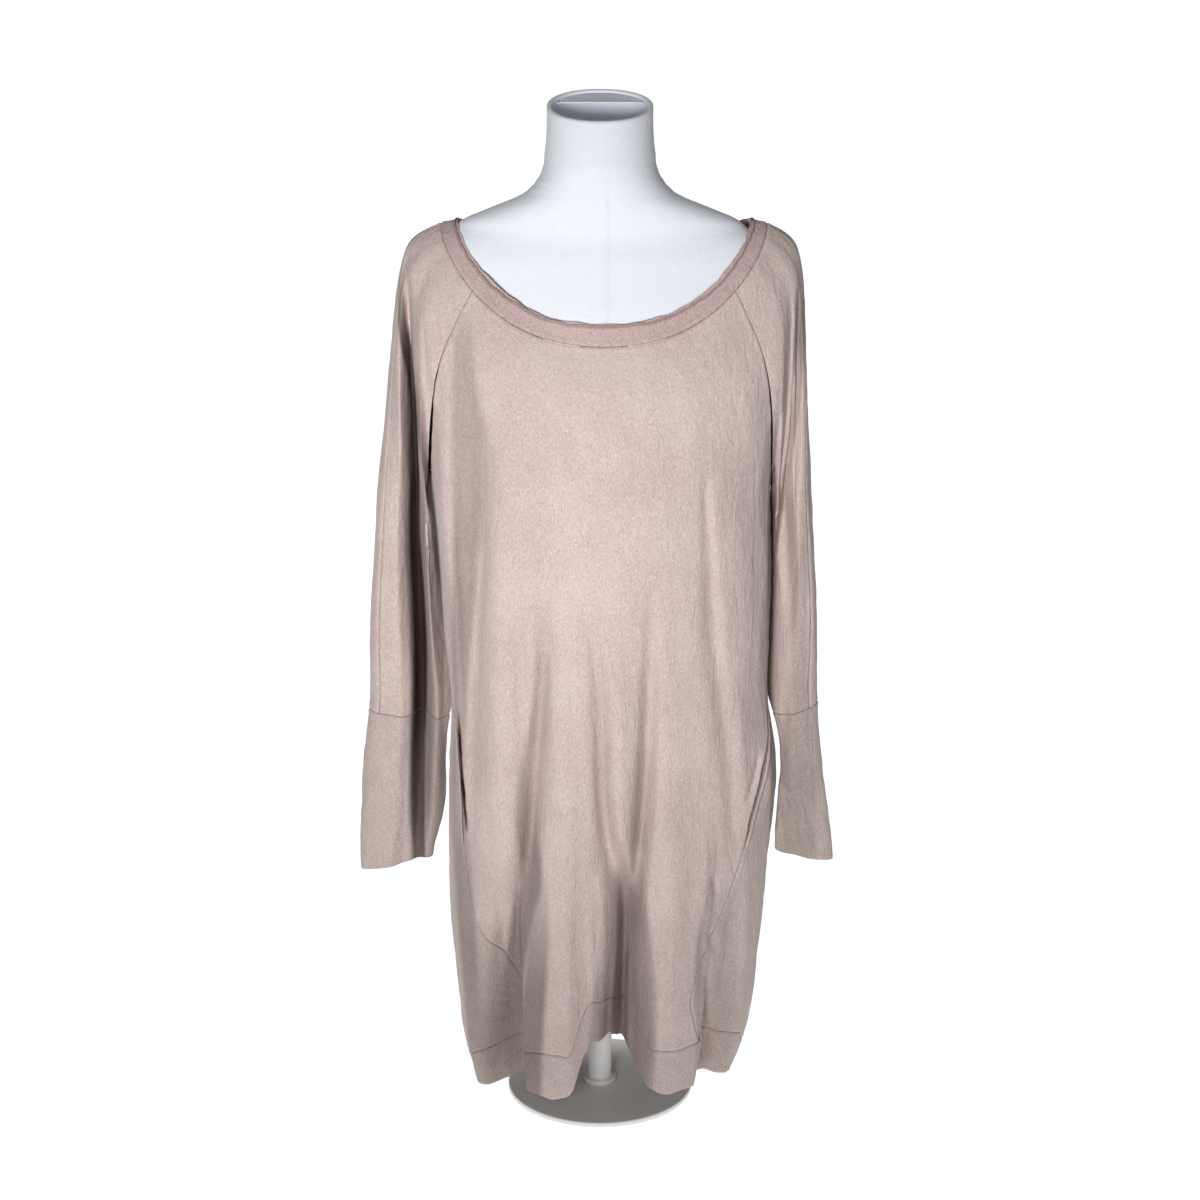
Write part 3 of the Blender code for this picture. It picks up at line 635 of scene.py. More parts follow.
def waver(points, lengths, seed, count=14):
    """Repeatable ripple of about -1 to 1: the mean of sine waves in seeded directions over
    the given wave lengths along x, y and z."""
    choose = np.random.default_rng(seed)
    total = np.zeros(points.shape[:-1])
    for _ in range(count):
        direction = choose.normal(size=3)
        direction = direction / np.linalg.norm(direction) * choose.uniform(0.6, 1.4)
        wave = 2 * math.pi * direction / np.array(lengths)
        total += np.sin(points @ wave + choose.uniform(0, 2 * math.pi))
    return total / math.sqrt(count)


def normals_of(points, turned, closed):
    """Unit normals of a grid: the cross product of its steps down and across."""
    if closed:
        across = np.roll(points, -1, 1) - np.roll(points, 1, 1)
    else:
        across = np.gradient(points, axis=1)
    normal = np.cross(np.gradient(points, axis=0), across)
    normal = normal / np.maximum(np.linalg.norm(normal, axis=-1, keepdims=True), 1e-12)
    return -normal if turned else normal


RIPPLE, RIPPLE_LENGTHS = 0.00055, (0.030, 0.030, 0.110)  # soft vertical unevenness
CRUMPLE, CRUMPLE_LENGTHS = 0.00016, (0.011, 0.011, 0.022)  # fine crumple of the jersey
ON_FORM, CALM = (0.830, 0.890), 0.7  # from these heights up the cloth lies on the form, smoother
FACING_Y, FACING_X = (0.05, 0.55), (0.3, 0.8)  # normals at which folds of a side set in, are full


def worn(points, turned=False, closed=False):
    """The cloth with its folds: those of each side are weighted by how far the cloth faces
    that side, and the ripples move it along its normal."""
    normals = normals_of(points, turned, closed)
    x, y, z = points[..., 0], points[..., 1], points[..., 2]
    front, back = (ramp(sign * normals[..., 1], *FACING_Y) for sign in (-1, 1))
    moved = points.copy()
    seen = long_folds(FRONT_FOLDS, x, z) + creases(FRONT_CREASES, x, z)
    behind = long_folds(BACK_FOLDS, x, z) + creases(BACK_CREASES, x, z)
    moved[..., 1] += back * behind - front * seen
    for side, sign in SIDES.items():
        beside = ramp(sign * normals[..., 0], *FACING_X)
        moved[..., 0] += sign * beside * long_folds(SIDE_FOLDS[side], y, z)
    calm = 1 - CALM * ramp(z, *ON_FORM)
    ripple = RIPPLE * waver(points, RIPPLE_LENGTHS, 5)
    ripple = ripple + CRUMPLE * waver(points, CRUMPLE_LENGTHS, 8)
    return moved + normals * (calm * ripple)[..., None]


print(len(BACK_FOLDS), "long folds and", len(BACK_CREASES["x0"]), "creases behind")

# %% [markdown]
# ## The painted shade in the deep folds
#
# The deepest folds of worn jersey close on themselves: the cloth touches cloth a finger
# deep inside, where light hardly comes. The shells here stay open in front, so each of
# these valleys carries a painted shade of its own, drawn along it and strongest where the
# fold is deepest. The cloth that turns away at the outline, and low down at the sides, has
# painted shade too. The shade is kept as a value on the mesh, which the jersey reads.

# %% Shade in the deep folds
def shaded_fold(*rows):
    """The shade of a fold: height, place across and half width in mm, and its strength."""
    return table("height across wide shade", *rows, unit=(MM, MM, MM, 1))


FOLD_SHADES = [
    # right sleeve: beside the pleat, and beside the body
    shaded_fold(
        (895, -194, 3, 0), (860, -195.5, 4, 0.6), (780, -187.5, 5, 1.15), (700, -187.5, 6, 1.3),
        (620, -190.5, 6.6, 1.35), (540, -188, 9, 1.35), (460, -187.5, 9, 1.35),
        (370, -191.5, 9, 1.25), (260, -192, 8.5, 1),
    ),
    shaded_fold(
        (800, -178.5, 4, 0), (780, -178.5, 6, 0.3), (700, -174.5, 5, 0.7), (620, -168, 6, 1.1),
        (540, -165, 4.5, 0.7), (460, -166, 4, 0.4), (370, -165.5, 3.5, 0.7),
        (300, -168, 3.5, 0.5),
    ),
    # right sleeve: the soft shade between them
    shaded_fold(
        (700, -179, 6, 0), (620, -178, 7, 0.3), (460, -172, 10, 0.45), (370, -174, 11, 0.5),
        (260, -176, 11, 0.4),
    ),
    # left sleeve: beside the body, beside the drape edge, and its outer half
    shaded_fold(
        (800, 174, 3, 0), (720, 173.5, 4, 0.5), (640, 174.5, 6.5, 0.85),
        (600, 175.5, 7.5, 0.85), (540, 175.5, 7, 0.6), (460, 175.5, 6.5, 0.35),
        (370, 182, 6.5, 0.55), (300, 183, 6.5, 0.45),
    ),
    shaded_fold(
        (900, 196.5, 3, 0), (870, 196.5, 4.5, 0.45), (780, 196.5, 5, 0.4), (700, 189, 4.5, 0.3),
        (660, 185, 4, 0),
    ),
    shaded_fold(
        (650, 205, 6, 0), (600, 206, 6, 0.25), (540, 204, 9, 0.3), (460, 205.5, 13, 0.35),
        (410, 205.5, 18, 0.38), (370, 206.5, 21, 0.45), (310, 208.5, 23, 0.45),
        (260, 208.5, 23, 0.38),
    ),
    # the deep fold on the right and its outer flank
    shaded_fold(
        (580, -55, 6, 0), (520, -56, 7, 0.2), (460, -60, 10, 0.3), (370, -73, 13, 0.35),
        (330, -74, 13.5, 0.5), (290, -70, 14, 0.65), (240, -78, 14, 0.7),
        (200, -85.5, 13, 0.75), (140, -90, 14, 0.75), (50, -90, 14, 0.6),
    ),
    shaded_fold(
        (300, -60, 8, 0), (200, -64, 13, 0.6), (120, -70, 14, 0.75), (50, -72, 13, 0.65),
    ),
    # the right side low down
    shaded_fold(
        (240, -115, 24, 0), (170, -110, 30, 0.25), (120, -103, 36, 0.5), (30, -100, 36, 0.45),
    ),
    # the centre fold and its flanks
    shaded_fold(
        (400, 22, 6, 0), (290, 23.5, 7, 0.35), (260, 23.5, 7.5, 0.6), (200, 24, 8.5, 0.8),
        (140, 21, 11, 0.9), (40, 21, 11.5, 0.9),
    ),
    shaded_fold(
        (320, 39, 7, 0), (280, 37, 11, 0.4), (200, 42, 14, 0.5), (130, 45, 15, 0.6),
        (40, 42, 13, 0.5),
    ),
    shaded_fold(
        (290, 8, 7, 0), (200, 7, 10, 0.3), (130, 0, 12, 0.45), (40, 0, 12, 0.4),
    ),
    # the two folds beside the tongue
    shaded_fold(
        (530, -3, 5, 0), (460, 0, 7, 0.15), (370, 2, 8, 0.2), (300, 3, 8, 0),
    ),
    shaded_fold(
        (560, 50, 7, 0), (460, 45, 8, 0.1), (370, 40, 9, 0.3), (300, 39, 9, 0.2),
        (280, 39, 8, 0),
    ),
    # the step on the left and the side behind it
    shaded_fold(
        (350, 113.5, 5, 0), (290, 113.5, 6, 0.3), (260, 112.5, 6, 0.4), (200, 106, 8.5, 0.35),
        (120, 106, 8, 0.2), (50, 105, 6, 0.1),
    ),
    shaded_fold(
        (300, 125, 14, 0), (200, 127, 20, 0.2), (120, 128, 20, 0.25), (40, 125, 18, 0.2),
    ),
    # the right edge of the body, under the sleeve
    shaded_fold(
        (860, -132, 8, 0), (780, -131, 15, 0.42), (700, -128, 18, 0.45),
        (620, -133, 16.5, 0.52), (540, -138.5, 13.5, 0.55), (460, -142, 9.5, 0.38),
        (370, -145, 9.5, 0.3), (290, -143, 12, 0.45), (200, -138, 12, 0.5), (50, -132, 10, 0.4),
    ),
    # the slit of the right pocket
    shaded_fold(
        (455, -145, 1.4, 0), (430, -144, 2.2, 1.1), (385, -142, 2.6, 1.3),
        (345, -139.3, 2.7, 1.3), (328, -137.8, 2.5, 1.1), (312, -137, 1.4, 0),
    ),
]
SHADE_REACH, SHADE_FLAT = 1.15, 0.45  # reach per half width, flat share of the reach
SHADE_MOST = 0.72  # shade on the mesh for a strength of 1
SHADE_OPEN = 0.27  # a shade that starts lower than this goes on to the end of the cloth
SHADE_ABOVE, SHADE_BACK = 0.005, 0.045  # how far above its top row and how far back it goes


def fold_shade(points):
    """Share of painted shade at points of the front: the strongest of the folds' own, each its
    strength times a rounded hill of the distance across its valley."""
    x, y, z = points.T
    shade = 0 * x
    for fold in FOLD_SHADES:
        centre, wide, dark = (along(fold, n, z) for n in ("across", "wide", "shade"))
        low, high = fold["height"][0], fold["height"][-1]
        inside = ((z > low) | (low < SHADE_OPEN)) & (z < high + SHADE_ABOVE)
        own = dark * bump((x - centre) / (SHADE_REACH * wide), SHADE_FLAT)
        shade = np.maximum(shade, np.where(inside, own, 0.0))
    return SHADE_MOST * shade * (y < SHADE_BACK)


print(len(FOLD_SHADES), "shades of deep folds")

# %% [markdown]
# ## From a grid to a piece of cloth
#
# A sewn panel is a sheet with seams along some edges. The grid of points gives its outer
# face, and Solidify adds the wall on the inside. Near a seam the cloth dips, because the
# stitches pull it down on its allowance, and rises a little beside it. The columns are
# closer together there, so that the dip stays crisp.

# %% Cloth tools
CLOTH = 0.0015  # wall of the jersey
SEAM_GAP = 0.00030  # between two panels at their seam
SEAM_DIP, DIP_WIDE = 0.0008, 0.0010  # depth of the dip along a seam, and its half width
SEAM_RISE, RISE_AT, RISE_WIDE = 0.00045, 0.0032, 0.0016  # and of the rise beside it
EDGE = np.array([0.0, 0.2, 0.45, 0.7])  # shares of the narrow strip along an edge


def spread(start, end, count, strip):
    """Places from start to end: even ones, between strips that hold closer ones."""
    even = np.linspace(0, 1, count)
    share = np.concatenate([0 * EDGE, even, 1 + 0 * EDGE])
    offset = np.concatenate([EDGE, 1 - 2 * even, -EDGE[::-1]])
    return start + (end - start) * share + strip * offset


def rows_from(strip, count):
    """Shares of the rows from a sewn level edge at 0 to 1, with closer ones in its strip."""
    return np.concatenate([strip * EDGE, np.linspace(strip, 1, count)])[:, None]


def rows_to(strip, count):
    """Shares of the rows from 0 to a sewn level edge at 1, with closer ones in its strip."""
    return np.concatenate([np.linspace(0, 1 - strip, count), 1 - strip * EDGE[::-1]])[:, None]


def grid_quads(rows, columns, closed, turned):
    """Quads of a grid of rows, with the last column joined to the first where it is closed."""
    row = np.arange(rows - 1)[:, None] * columns
    column = np.arange(columns if closed else columns - 1)
    here, beside = row + column, row + (column + 1) % columns
    quads = np.stack([here, here + columns, beside + columns, beside], -1).reshape(-1, 4)
    return quads[:, ::-1] if turned else quads


SHADE_FACING = (-0.1, 0.15)  # a shade fades out where the cloth turns away from the front


def add_piece(name, points, quads, finish, slot, *nodes):
    """A smooth mesh object of the given quads, in its place and finish."""
    used, quads = np.unique(quads, return_inverse=True)
    quads = quads.reshape(-1, 4)
    mesh = bpy.data.meshes.new(name)
    mesh.vertices.add(len(used))
    mesh.vertices.foreach_set("co", points.reshape(-1, 3)[used].ravel())
    mesh.loops.add(quads.size)
    mesh.loops.foreach_set("vertex_index", quads.ravel())
    mesh.polygons.add(len(quads))
    mesh.polygons.foreach_set("loop_start", np.arange(len(quads)) * 4)
    mesh.update(calc_edges=True)
    mesh.shade_smooth()
    mesh.materials.append(finish)
    # Jersey pieces carry the painted shade of the deep folds as a value on each point.
    if slot == "jersey":
        shade = mesh.attributes.new("fold_shade", "FLOAT", "POINT")
        facing = np.empty(len(used) * 3, np.float32)
        mesh.vertex_normals.foreach_get("vector", facing)
        values = fold_shade(points.reshape(-1, 3)[used]) * ramp(-facing[1::3], *SHADE_FACING)
        shade.data.foreach_set("value", values.astype(np.float32))
    made = bpy.data.objects.new(name, mesh)
    bpy.context.scene.collection.objects.link(made)
    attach(made, "root")
    if nodes:
        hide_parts(*nodes)
    return made


def add_wall(made, thickness):
    """Gives a sheet its wall, on the inside of the outer face."""
    solid = made.modifiers.new("wall", "SOLIDIFY")
    solid.thickness, solid.offset = thickness, -1


def from_edges(points, axis):
    """Distance along the grid from its first and from its last row or column."""
    step = np.linalg.norm(np.diff(points, axis=axis), axis=-1)
    first = np.insert(np.cumsum(step, axis=axis), 0, 0.0, axis=axis)
    return first, np.take(first, [-1], axis=axis) - first


def seam_relief(distance):
    """Minus a narrow bell at the seam, plus a wider low one beside it."""
    rise = SEAM_RISE * hill((distance - RISE_AT) / RISE_WIDE)
    return rise - SEAM_DIP * hill(distance / DIP_WIDE)


def sewn(points, sides, turned, closed):
    """The cloth with the dips of its seams. Sides name the sewn edges: first and last
    column (left, right) and first and last row (top, low)."""
    normals = normals_of(points, turned, closed)
    distances = dict(zip(("left", "right"), from_edges(points, 1)))
    distances.update(zip(("top", "low"), from_edges(points, 0)))
    relief = sum(seam_relief(distances[side]) for side in sides)
    return points + normals * relief[..., None]


def edges_apart(points, closed):
    """The edges drawn in by half the gap, to stay clear of the neighbours."""
    points = points.copy()
    half = SEAM_GAP / 2
    pairs = [(points[0], points[1]), (points[-1], points[-2])]
    if not closed:
        pairs += [(points[:, 0], points[:, 1]), (points[:, -1], points[:, -2])]
    for edge, inner in pairs:
        away = inner - edge
        edge += away * (half / np.maximum(np.linalg.norm(away, axis=-1, keepdims=True), 1e-9))
    return points


SEWN = {}  # grid and normals of each piece made, for its stitches


def cloth(name, points, finish, sides="", turned=False, closed=False, keep=None, wall=CLOTH):
    """A worn and sewn piece with its wall. Keep picks the quads of the grid that stay."""
    sides = sides.split()
    points = worn(points, turned, closed)
    if sides:
        points = sewn(points, sides, turned, closed)
    points = edges_apart(points, closed)
    SEWN[name] = points, normals_of(points, turned, closed)
    quads = grid_quads(*points.shape[:2], closed, turned)
    if keep is not None:
        quads = quads[keep(quads)]
    made = add_piece(f"{name}_cloth", points, quads, finish, "jersey", name)
    add_wall(made, wall)
    a, b, c, d = points.reshape(-1, 3)[quads.T]
    area = np.linalg.norm(np.cross(c - a, d - b), axis=-1).sum() / 2
    print(f"{name}: {len(quads)} faces, {area:.3f} square metres")
    return made


# %% [markdown]
# ## The finishes
#
# The tunic is cotton jersey: a fine weft knit, dyed a dusty rose taupe and washed, so it is
# matte, slightly downy, and never quite one colour. A knit is too fine to read at this
# distance, so its wales are drawn as a soft mottle. The form wears a tight white cover, and
# the stand is powder coated steel. The colours are given as sRGB codes.

# %% Material tools
def linear(code):
    """Linear colour of an sRGB hex code."""
    parts = [int(code[i : i + 2], 16) / 255 for i in (1, 3, 5)]
    return [c / 12.92 if c <= 0.04045 else ((c + 0.055) / 1.055) ** 2.4 for c in parts] + [1.0]


def is_output(value):
    """Whether a value is the output of a node."""
    return isinstance(value, bpy.types.NodeSocket)


def set_up(made, values):
    """Sets up a node: a value that is another node's output is linked to the input of that
    name or number, any other one is set there or as the attribute of that name."""
    for name, value in values.items():
        if is_output(value):
            made.id_data.links.new(value, made.inputs[name])
        elif isinstance(name, int) or name in made.inputs:
            made.inputs[name].default_value = value
        else:
            setattr(made, name, value)
    return made


def node(tree, kind, values):
    """Adds a node to a tree and sets it up."""
    return set_up(tree.nodes.new(kind), values)


def maths(tree, operation, *values, clamp=False):
    """Output of a maths node on numbers and other outputs."""
    settings = {"operation": operation, "use_clamp": clamp}
    return node(tree, "ShaderNodeMath", settings | dict(enumerate(values))).outputs[0]


def noise(tree, place, scale, detail=2.0, distortion=0.0):
    """Output of a noise with grains of about 1 / scale metres."""
    values = {"Vector": place, "Scale": scale, "Detail": detail, "Distortion": distortion}
    return node(tree, "ShaderNodeTexNoise", values).outputs[0]


def upright(tree, place, squeeze):
    """Coordinates squeezed in height, so that the grains of a noise stand upright."""
    values = {"Vector": place, "Scale": (1.0, 1.0, squeeze)}
    return node(tree, "ShaderNodeMapping", values).outputs[0]


def ranged(tree, value, low, high, start=0.0, end=1.0):
    """Output that runs from start to end while the value runs from low to high."""
    values = {"Value": value, "From Min": low, "From Max": high, "To Min": start, "To Max": end}
    return node(tree, "ShaderNodeMapRange", values).outputs[0]


def mixed(tree, share, first, second):
    """Colour between two, each of them an sRGB code or an output."""
    first, second = (c if is_output(c) else linear(c) for c in (first, second))
    values = {"data_type": "RGBA", 0: share, 6: first, 7: second}
    return node(tree, "ShaderNodeMix", values).outputs[2]


def relief(tree, height, strength, distance, **below):
    """Normals of a bump, on top of another one's where it is given."""
    values = {"Height": height, "Strength": strength, "Distance": distance}
    return node(tree, "ShaderNodeBump", values | below).outputs[0]


def new_material(name, rough, sheen, code):
    """A Principled material, with its tree, its shader and its Object coordinates."""
    made = bpy.data.materials.new(name)
    made.use_nodes = True
    made.diffuse_color = linear(code)
    tree = made.node_tree
    values = {"Base Color": linear(code), "Roughness": rough}
    values |= {"Sheen Weight": sheen, "Sheen Roughness": 0.5}
    shader = set_up(tree.nodes["Principled BSDF"], values)
    return made, tree, shader, node(tree, "ShaderNodeTexCoord", {}).outputs["Object"]


# %% [markdown]
# ## The jersey
#
# Weft-knit cotton scatters light in all directions and has a faint down. It could be made of
# modelled loops, but at 1.4 mm they are far too small to see here. So the cloth is one matte
# surface whose colour wanders between two dye shades, with a bump for its crumple and knit.
# The side panels, the hem and the cuffs are a trace darker: painted shade, for they lie at
# the sides and low down. The raw edges are a trace pinker.

# %% Washed cotton jersey
JERSEY_SHEEN, JERSEY_SHINE = 0.12, 0.5
# The dark that the painted shade of the deep folds mixes into the jersey.
FOLD_DARK = "#2E1F19"  # jersey deep in a fold, where only light from other cloth comes


def jersey(name, light, dark):
    """Matte knit: two close dye shades in soft clouds of 7 cm, a fine mottle of the wales
    (1.2 mm), and a bump of crumple (10 mm) and knit. In the deep folds its colour goes to
    the dark of their painted shade, and its sheen and shine fade."""
    made, tree, shader, place = new_material(name, rough=0.9, sheen=JERSEY_SHEEN, code=light)
    mottle = noise(tree, upright(tree, place, 0.45), scale=820.0)
    clouds = noise(tree, place, scale=14.0, detail=3.0)
    cloudy = maths(tree, "MULTIPLY_ADD", clouds, 0.4, mottle)
    dyed = mixed(tree, ranged(tree, cloudy, 0.50, 0.90), light, dark)
    # Painted shade: the fold_shade value darkens the colour and dims the sheen and shine.
    deep = node(tree, "ShaderNodeAttribute", {"attribute_name": "fold_shade"}).outputs["Fac"]
    for feature, most in (("Sheen Weight", JERSEY_SHEEN), ("Specular IOR Level", JERSEY_SHINE)):
        set_up(shader, {feature: maths(tree, "MULTIPLY_ADD", deep, -most, most, clamp=True)})
    crumple = noise(tree, upright(tree, place, 0.3), scale=105.0, detail=4.0, distortion=0.9)
    soft = relief(tree, crumple, strength=0.75, distance=0.0024)
    knit = relief(tree, mottle, strength=0.5, distance=0.0003, Normal=soft)
    set_up(shader, {"Base Color": mixed(tree, deep, dyed, FOLD_DARK), "Normal": knit})
    return made


jersey_body = jersey("washed_cotton_jersey", "#D7C6C0", "#BDA8A1")
jersey_band = jersey("raw_edge_jersey", "#CFB8B4", "#B19893")
# A darker copy of the jersey: painted shade for the sides, the hem, the cuffs and the bags.
jersey_side_shaded = jersey("side_jersey_painted_shade", "#D1C2BB", "#B5A39C")
print("jerseys:", [made.name for made in (jersey_body, jersey_band, jersey_side_shaded)])


# %% [markdown]
# ## The front and back panels
#
# Each is one piece from the neck seam to the seam of the hem band, cut narrower at the
# sides so that it ends in a tongue between the side panels. The grid follows the cloth: its
# columns fan out from the neck, and its rows follow the hem more closely lower down.

# %% Front and back panels
STRIP = 1.5  # turn across the strip of close columns along an upright edge
ROW_STRIP = 0.006  # share of the yoke or of the drop in the strip along a level edge


def front_turn(height, count=130):
    """Turns of the front panel's columns at heights, from the right seam to the left."""
    right, left = (seam_turn(side, height) - POCKET_MOUTH * along_mouth(height) for side in SIDES)
    return spread(-right, left, count, STRIP)


def back_turn(height, count=100):
    """Turns of the back panel's columns, from the right seam round to the left."""
    right, left = (seam_turn(side, height) for side in SIDES)
    return spread(180 + right, 180 - left, count, -STRIP)


def settle(turn_of, drop):
    """Turns and heights of the rows between the underarm and the seam of the hem band."""
    height = UNDERARM + (HEM_LEVEL - UNDERARM) * drop
    for _ in range(8):
        turn = turn_of(height)
        height = UNDERARM + (hem_seam(turn) - UNDERARM) * drop
    return turn, height


def panel(turn_of, yoke_rows, rows):
    """Grid of a body panel: its part of the yoke over its part of the body."""
    fall, drop = rows_from(ROW_STRIP, yoke_rows), rows_to(ROW_STRIP, rows)[1:]
    turn = turn_of(np.array([UNDERARM]))
    across = (turn + 180) % 360 - 180
    station = np.interp(np.abs(across), station_turns(STATIONS)[1], STATIONS)
    right, left = (
        yoke(side, station, fall, body(SIDES[side] * station_turns(station)[1], UNDERARM))
        for side in SIDES
    )
    top = np.where((across < 0)[..., None], right, left)
    return np.concatenate([top, body(*settle(turn_of, drop))])


GAPE, GAPE_WIDE = 0.0065, 0.018  # how far the front panel stands off at the pocket mouths


def gaping(points):
    """The front panel moved forward at the pocket mouths: a rounded hill up the mouth times
    a bell of the distance from the edge."""
    nearest = np.minimum(*from_edges(points, 1))
    off = GAPE * along_mouth(points[..., 2]) * hill(nearest / GAPE_WIDE)
    return points - off[..., None] * np.array([0.0, 1.0, 0.0])


POCKET_DIP, DIP_REACH = 0.0048, 0.011  # how far a side panel sinks behind a pocket mouth


def sinking(points, turned):
    """A side panel moved in behind its pocket mouth: a rounded hill up the mouth times a
    bell of the distance from the front edge."""
    first, _ = from_edges(points, 1)
    off = POCKET_DIP * along_mouth(points[..., 2], 0.4) * hill(first / DIP_REACH)
    return points - normals_of(points, turned, False) * off[..., None]


front_panel = cloth(
    "front_panel", gaping(panel(front_turn, yoke_rows=76, rows=236)), jersey_body,
    "left right top low",
)
back_panel = cloth(
    "back_panel", panel(back_turn, yoke_rows=70, rows=190), jersey_body,
    "left right top low", turned=True,
)

# %% [markdown]
# ## The side panels
#
# A side panel starts as a narrow strip at the underarm and widens all the way to the hem,
# where its front edge swings forward. The pocket mouth lies in its front seam. It could be
# cut out of the body's surface afterwards, but a grid of its own has clean edges that meet
# those of the front and the back, and its rows can follow the hem.

# %% Side panels
def right_turn(height, count=70):
    """Turns of the right panel's columns, from its front seam to its back one."""
    seam = seam_turn("right", height)
    return spread(-seam, seam - 180, count, -STRIP)


def left_turn(height, count=70):
    """Turns of the left panel's columns, from its front seam to its back one."""
    seam = seam_turn("left", height)
    return spread(seam, 180 - seam, count, STRIP)


def side_panel(turn_of, rows=190):
    """Grid of a side panel from the underarm to the seam of the hem band."""
    return body(*settle(turn_of, rows_to(ROW_STRIP, rows)))


for side, turn_of, turned in (("right", right_turn, True), ("left", left_turn, False)):
    made = cloth(
        f"side_panel_{side}",
        sinking(side_panel(turn_of), turned),
        jersey_side_shaded,
        "left right low",
        turned=turned,
    )

# %% [markdown]
# ## The sleeves and cuffs
#
# Each raglan sleeve is cut in two, a front and a back, with a seam over the arm and one
# under it. A deep cuff of the same jersey closes it. A sleeve could be a tube along a curve,
# but then its top wouldn't lie on the shoulder. Here all grids share the surface of the
# sleeve and the yoke, so the seams meet at every height.

# %% Sleeves and cuffs
AROUND_STRIP = 0.022  # share of half a sleeve's round in the strip along an edge
UNDER = np.linspace(0, 1, 9)[1:]  # columns from the end of the raglan seam to the inner edge
TONGUE = 4  # rows by which the inner edge goes on above the underarm, inside the armhole


def under_seam(half):
    """Places round a sleeve of the columns between the raglan seam and the inner edge."""
    return half * (UNDER_ROUND + (1 - UNDER_ROUND) * UNDER)


def sleeve_around(side, half, height, count, under):
    """Places round the sleeve of the columns of its front (half 1) or back (half -1)."""
    seam = along(SLEEVE_LINES, f"seam_{side}", height)
    around = spread(seam, half * UNDER_ROUND, count, half * AROUND_STRIP)
    if not under:
        return around
    beyond = np.broadcast_to(under_seam(half), around.shape[:-1] + UNDER.shape)
    return np.concatenate([around, beyond], -1)


def cuff_level(sizes, around):
    """Height of a cuff's edge: its mean height, plus the tilt times a cosine round it."""
    middle, tilt = sizes
    return middle + tilt * np.cos(math.pi * around)


def sleeve_half(side, half, count, yoke_rows=84, rows=84):
    """Grid of the front or back of a sleeve, and how many rows lie above the underarm. The
    columns beyond the raglan seam go on above it by the rows of the tongue."""
    fall, drop = rows_from(ROW_STRIP, yoke_rows)[:-1], rows_to(ROW_STRIP, rows)
    level = SHOULDER - (SHOULDER - UNDERARM) * fall
    top = yoke_of_sleeve(side, sleeve_around(side, half, level, count, False), fall)
    beyond = under_seam(half)
    tongue = sleeve(side, beyond + 0 * level, level + 0 * beyond)
    tongue[:-TONGUE] = top[:-TONGUE, -1:]
    top = np.concatenate([top, tongue], 1)
    seam_height = UNDERARM + 0 * drop
    for _ in range(6):
        around = sleeve_around(side, half, seam_height, count, True)
        height = UNDERARM + (cuff_level(CUFF_TOP[side], around) - UNDERARM) * drop
        seam_height = height[:, :1]
    return np.concatenate([top, sleeve(side, around, height)]), len(top)


for side, sign in SIDES.items():
    for half, half_name, count in ((1, "front", 52), (-1, "back", 36)):
        points, above = sleeve_half(side, half, count)
        columns = points.shape[1]
        last = columns - len(UNDER) - 1

        def keep(quads, columns=columns, above=above, last=last):
            """Leaves out the columns beyond the raglan seam where they lie above the tongue."""
            corner = quads.min(1)
            return (corner // columns >= above - TONGUE) | (corner % columns < last)

        made = cloth(
            f"sleeve_{half_name}_{side}",
            points,
            jersey_body,
            "left top low",
            turned=sign != -half,
            keep=keep,
        )
    around = np.linspace(-1, 1, 121)[1:]
    share = rows_from(strip=0.03, count=56)
    top, end = cuff_level(CUFF_TOP[side], around), cuff_level(CUFF_END[side], around)
    made = cloth(
        f"cuff_{side}",
        sleeve(side, around, top + (end - top) * share),
        jersey_side_shaded,
        "top",
        turned=sign == 1,
        closed=True,
    )

# %% [markdown]
# ## The hem band
#
# One straight band, folded double and sewn to all four panels, draws the hem in. A ring of
# its own would have to be fitted to the folds, so it is laid on the body's surface instead:
# it follows every fold, and curls in under the sides.

# %% Hem band
turn = np.linspace(-180, 180, 441)[1:]
share = rows_from(strip=0.06, count=20)
hem_band = cloth(
    "hem_band",
    body(turn, hem_seam(turn) - along(HEM, "depth", turn) * share),
    jersey_side_shaded,
    "top",
    closed=True,
)

# %% [markdown]
# ## The neck band
#
# The neckline has a band about 20 mm deep whose upper edges are left raw. Cut jersey rolls
# towards its face, so the outer layer curls over, and the inner layer stands up a little
# behind it. Both edges wander, because a raw edge stretches in wear.

# %% Neck band
BAND_WALL, BAND_ROWS = 0.0007, 16
EDGE_WANDER, WANDER_WAVES = 0.034, (7, 11, 17, 29, 43)  # in rings of the neck; waves round it
INNER_BACK = 0.0012  # the inner layer's edge stands back in front, away from the outer one


def wander(turn, seed, waves):
    """Repeatable wander of an edge round the neck: the mean of sines of whole numbers of
    waves, so that it closes."""
    choose = np.random.default_rng(seed)
    total = 0 * turn
    for count in waves:
        total = total + np.sin(np.radians(turn) * count + choose.uniform(0, 2 * math.pi))
    return total / math.sqrt(len(waves))


def band_layer(turn, low, high, seed, off, roll):
    """A layer of the band: rings from low to high, moved off the seam's surface, with a
    roll outwards that grows with the square of the share over the last fifth."""
    share = np.linspace(0, 1, BAND_ROWS)[:, None]
    edge = high + EDGE_WANDER * wander(turn, seed, WANDER_WAVES)
    points = neck(low + (edge - low) * share, turn)
    normals = normals_of(points[::-1], False, True)[::-1]
    out = off * ramp(share, 0.0, 0.3) + roll * np.clip((share - 0.8) / 0.2, 0, 1) ** 2
    return points + normals * out[..., None]


def shade_rows(made, shares, columns):
    """Writes the shade of the first rows of a piece, the same all along each row."""
    values = np.zeros(len(made.data.vertices), np.float32)
    for row, share in enumerate(shares):
        values[row * columns : (row + 1) * columns] = share
    made.data.attributes["fold_shade"].data.foreach_set("value", values)


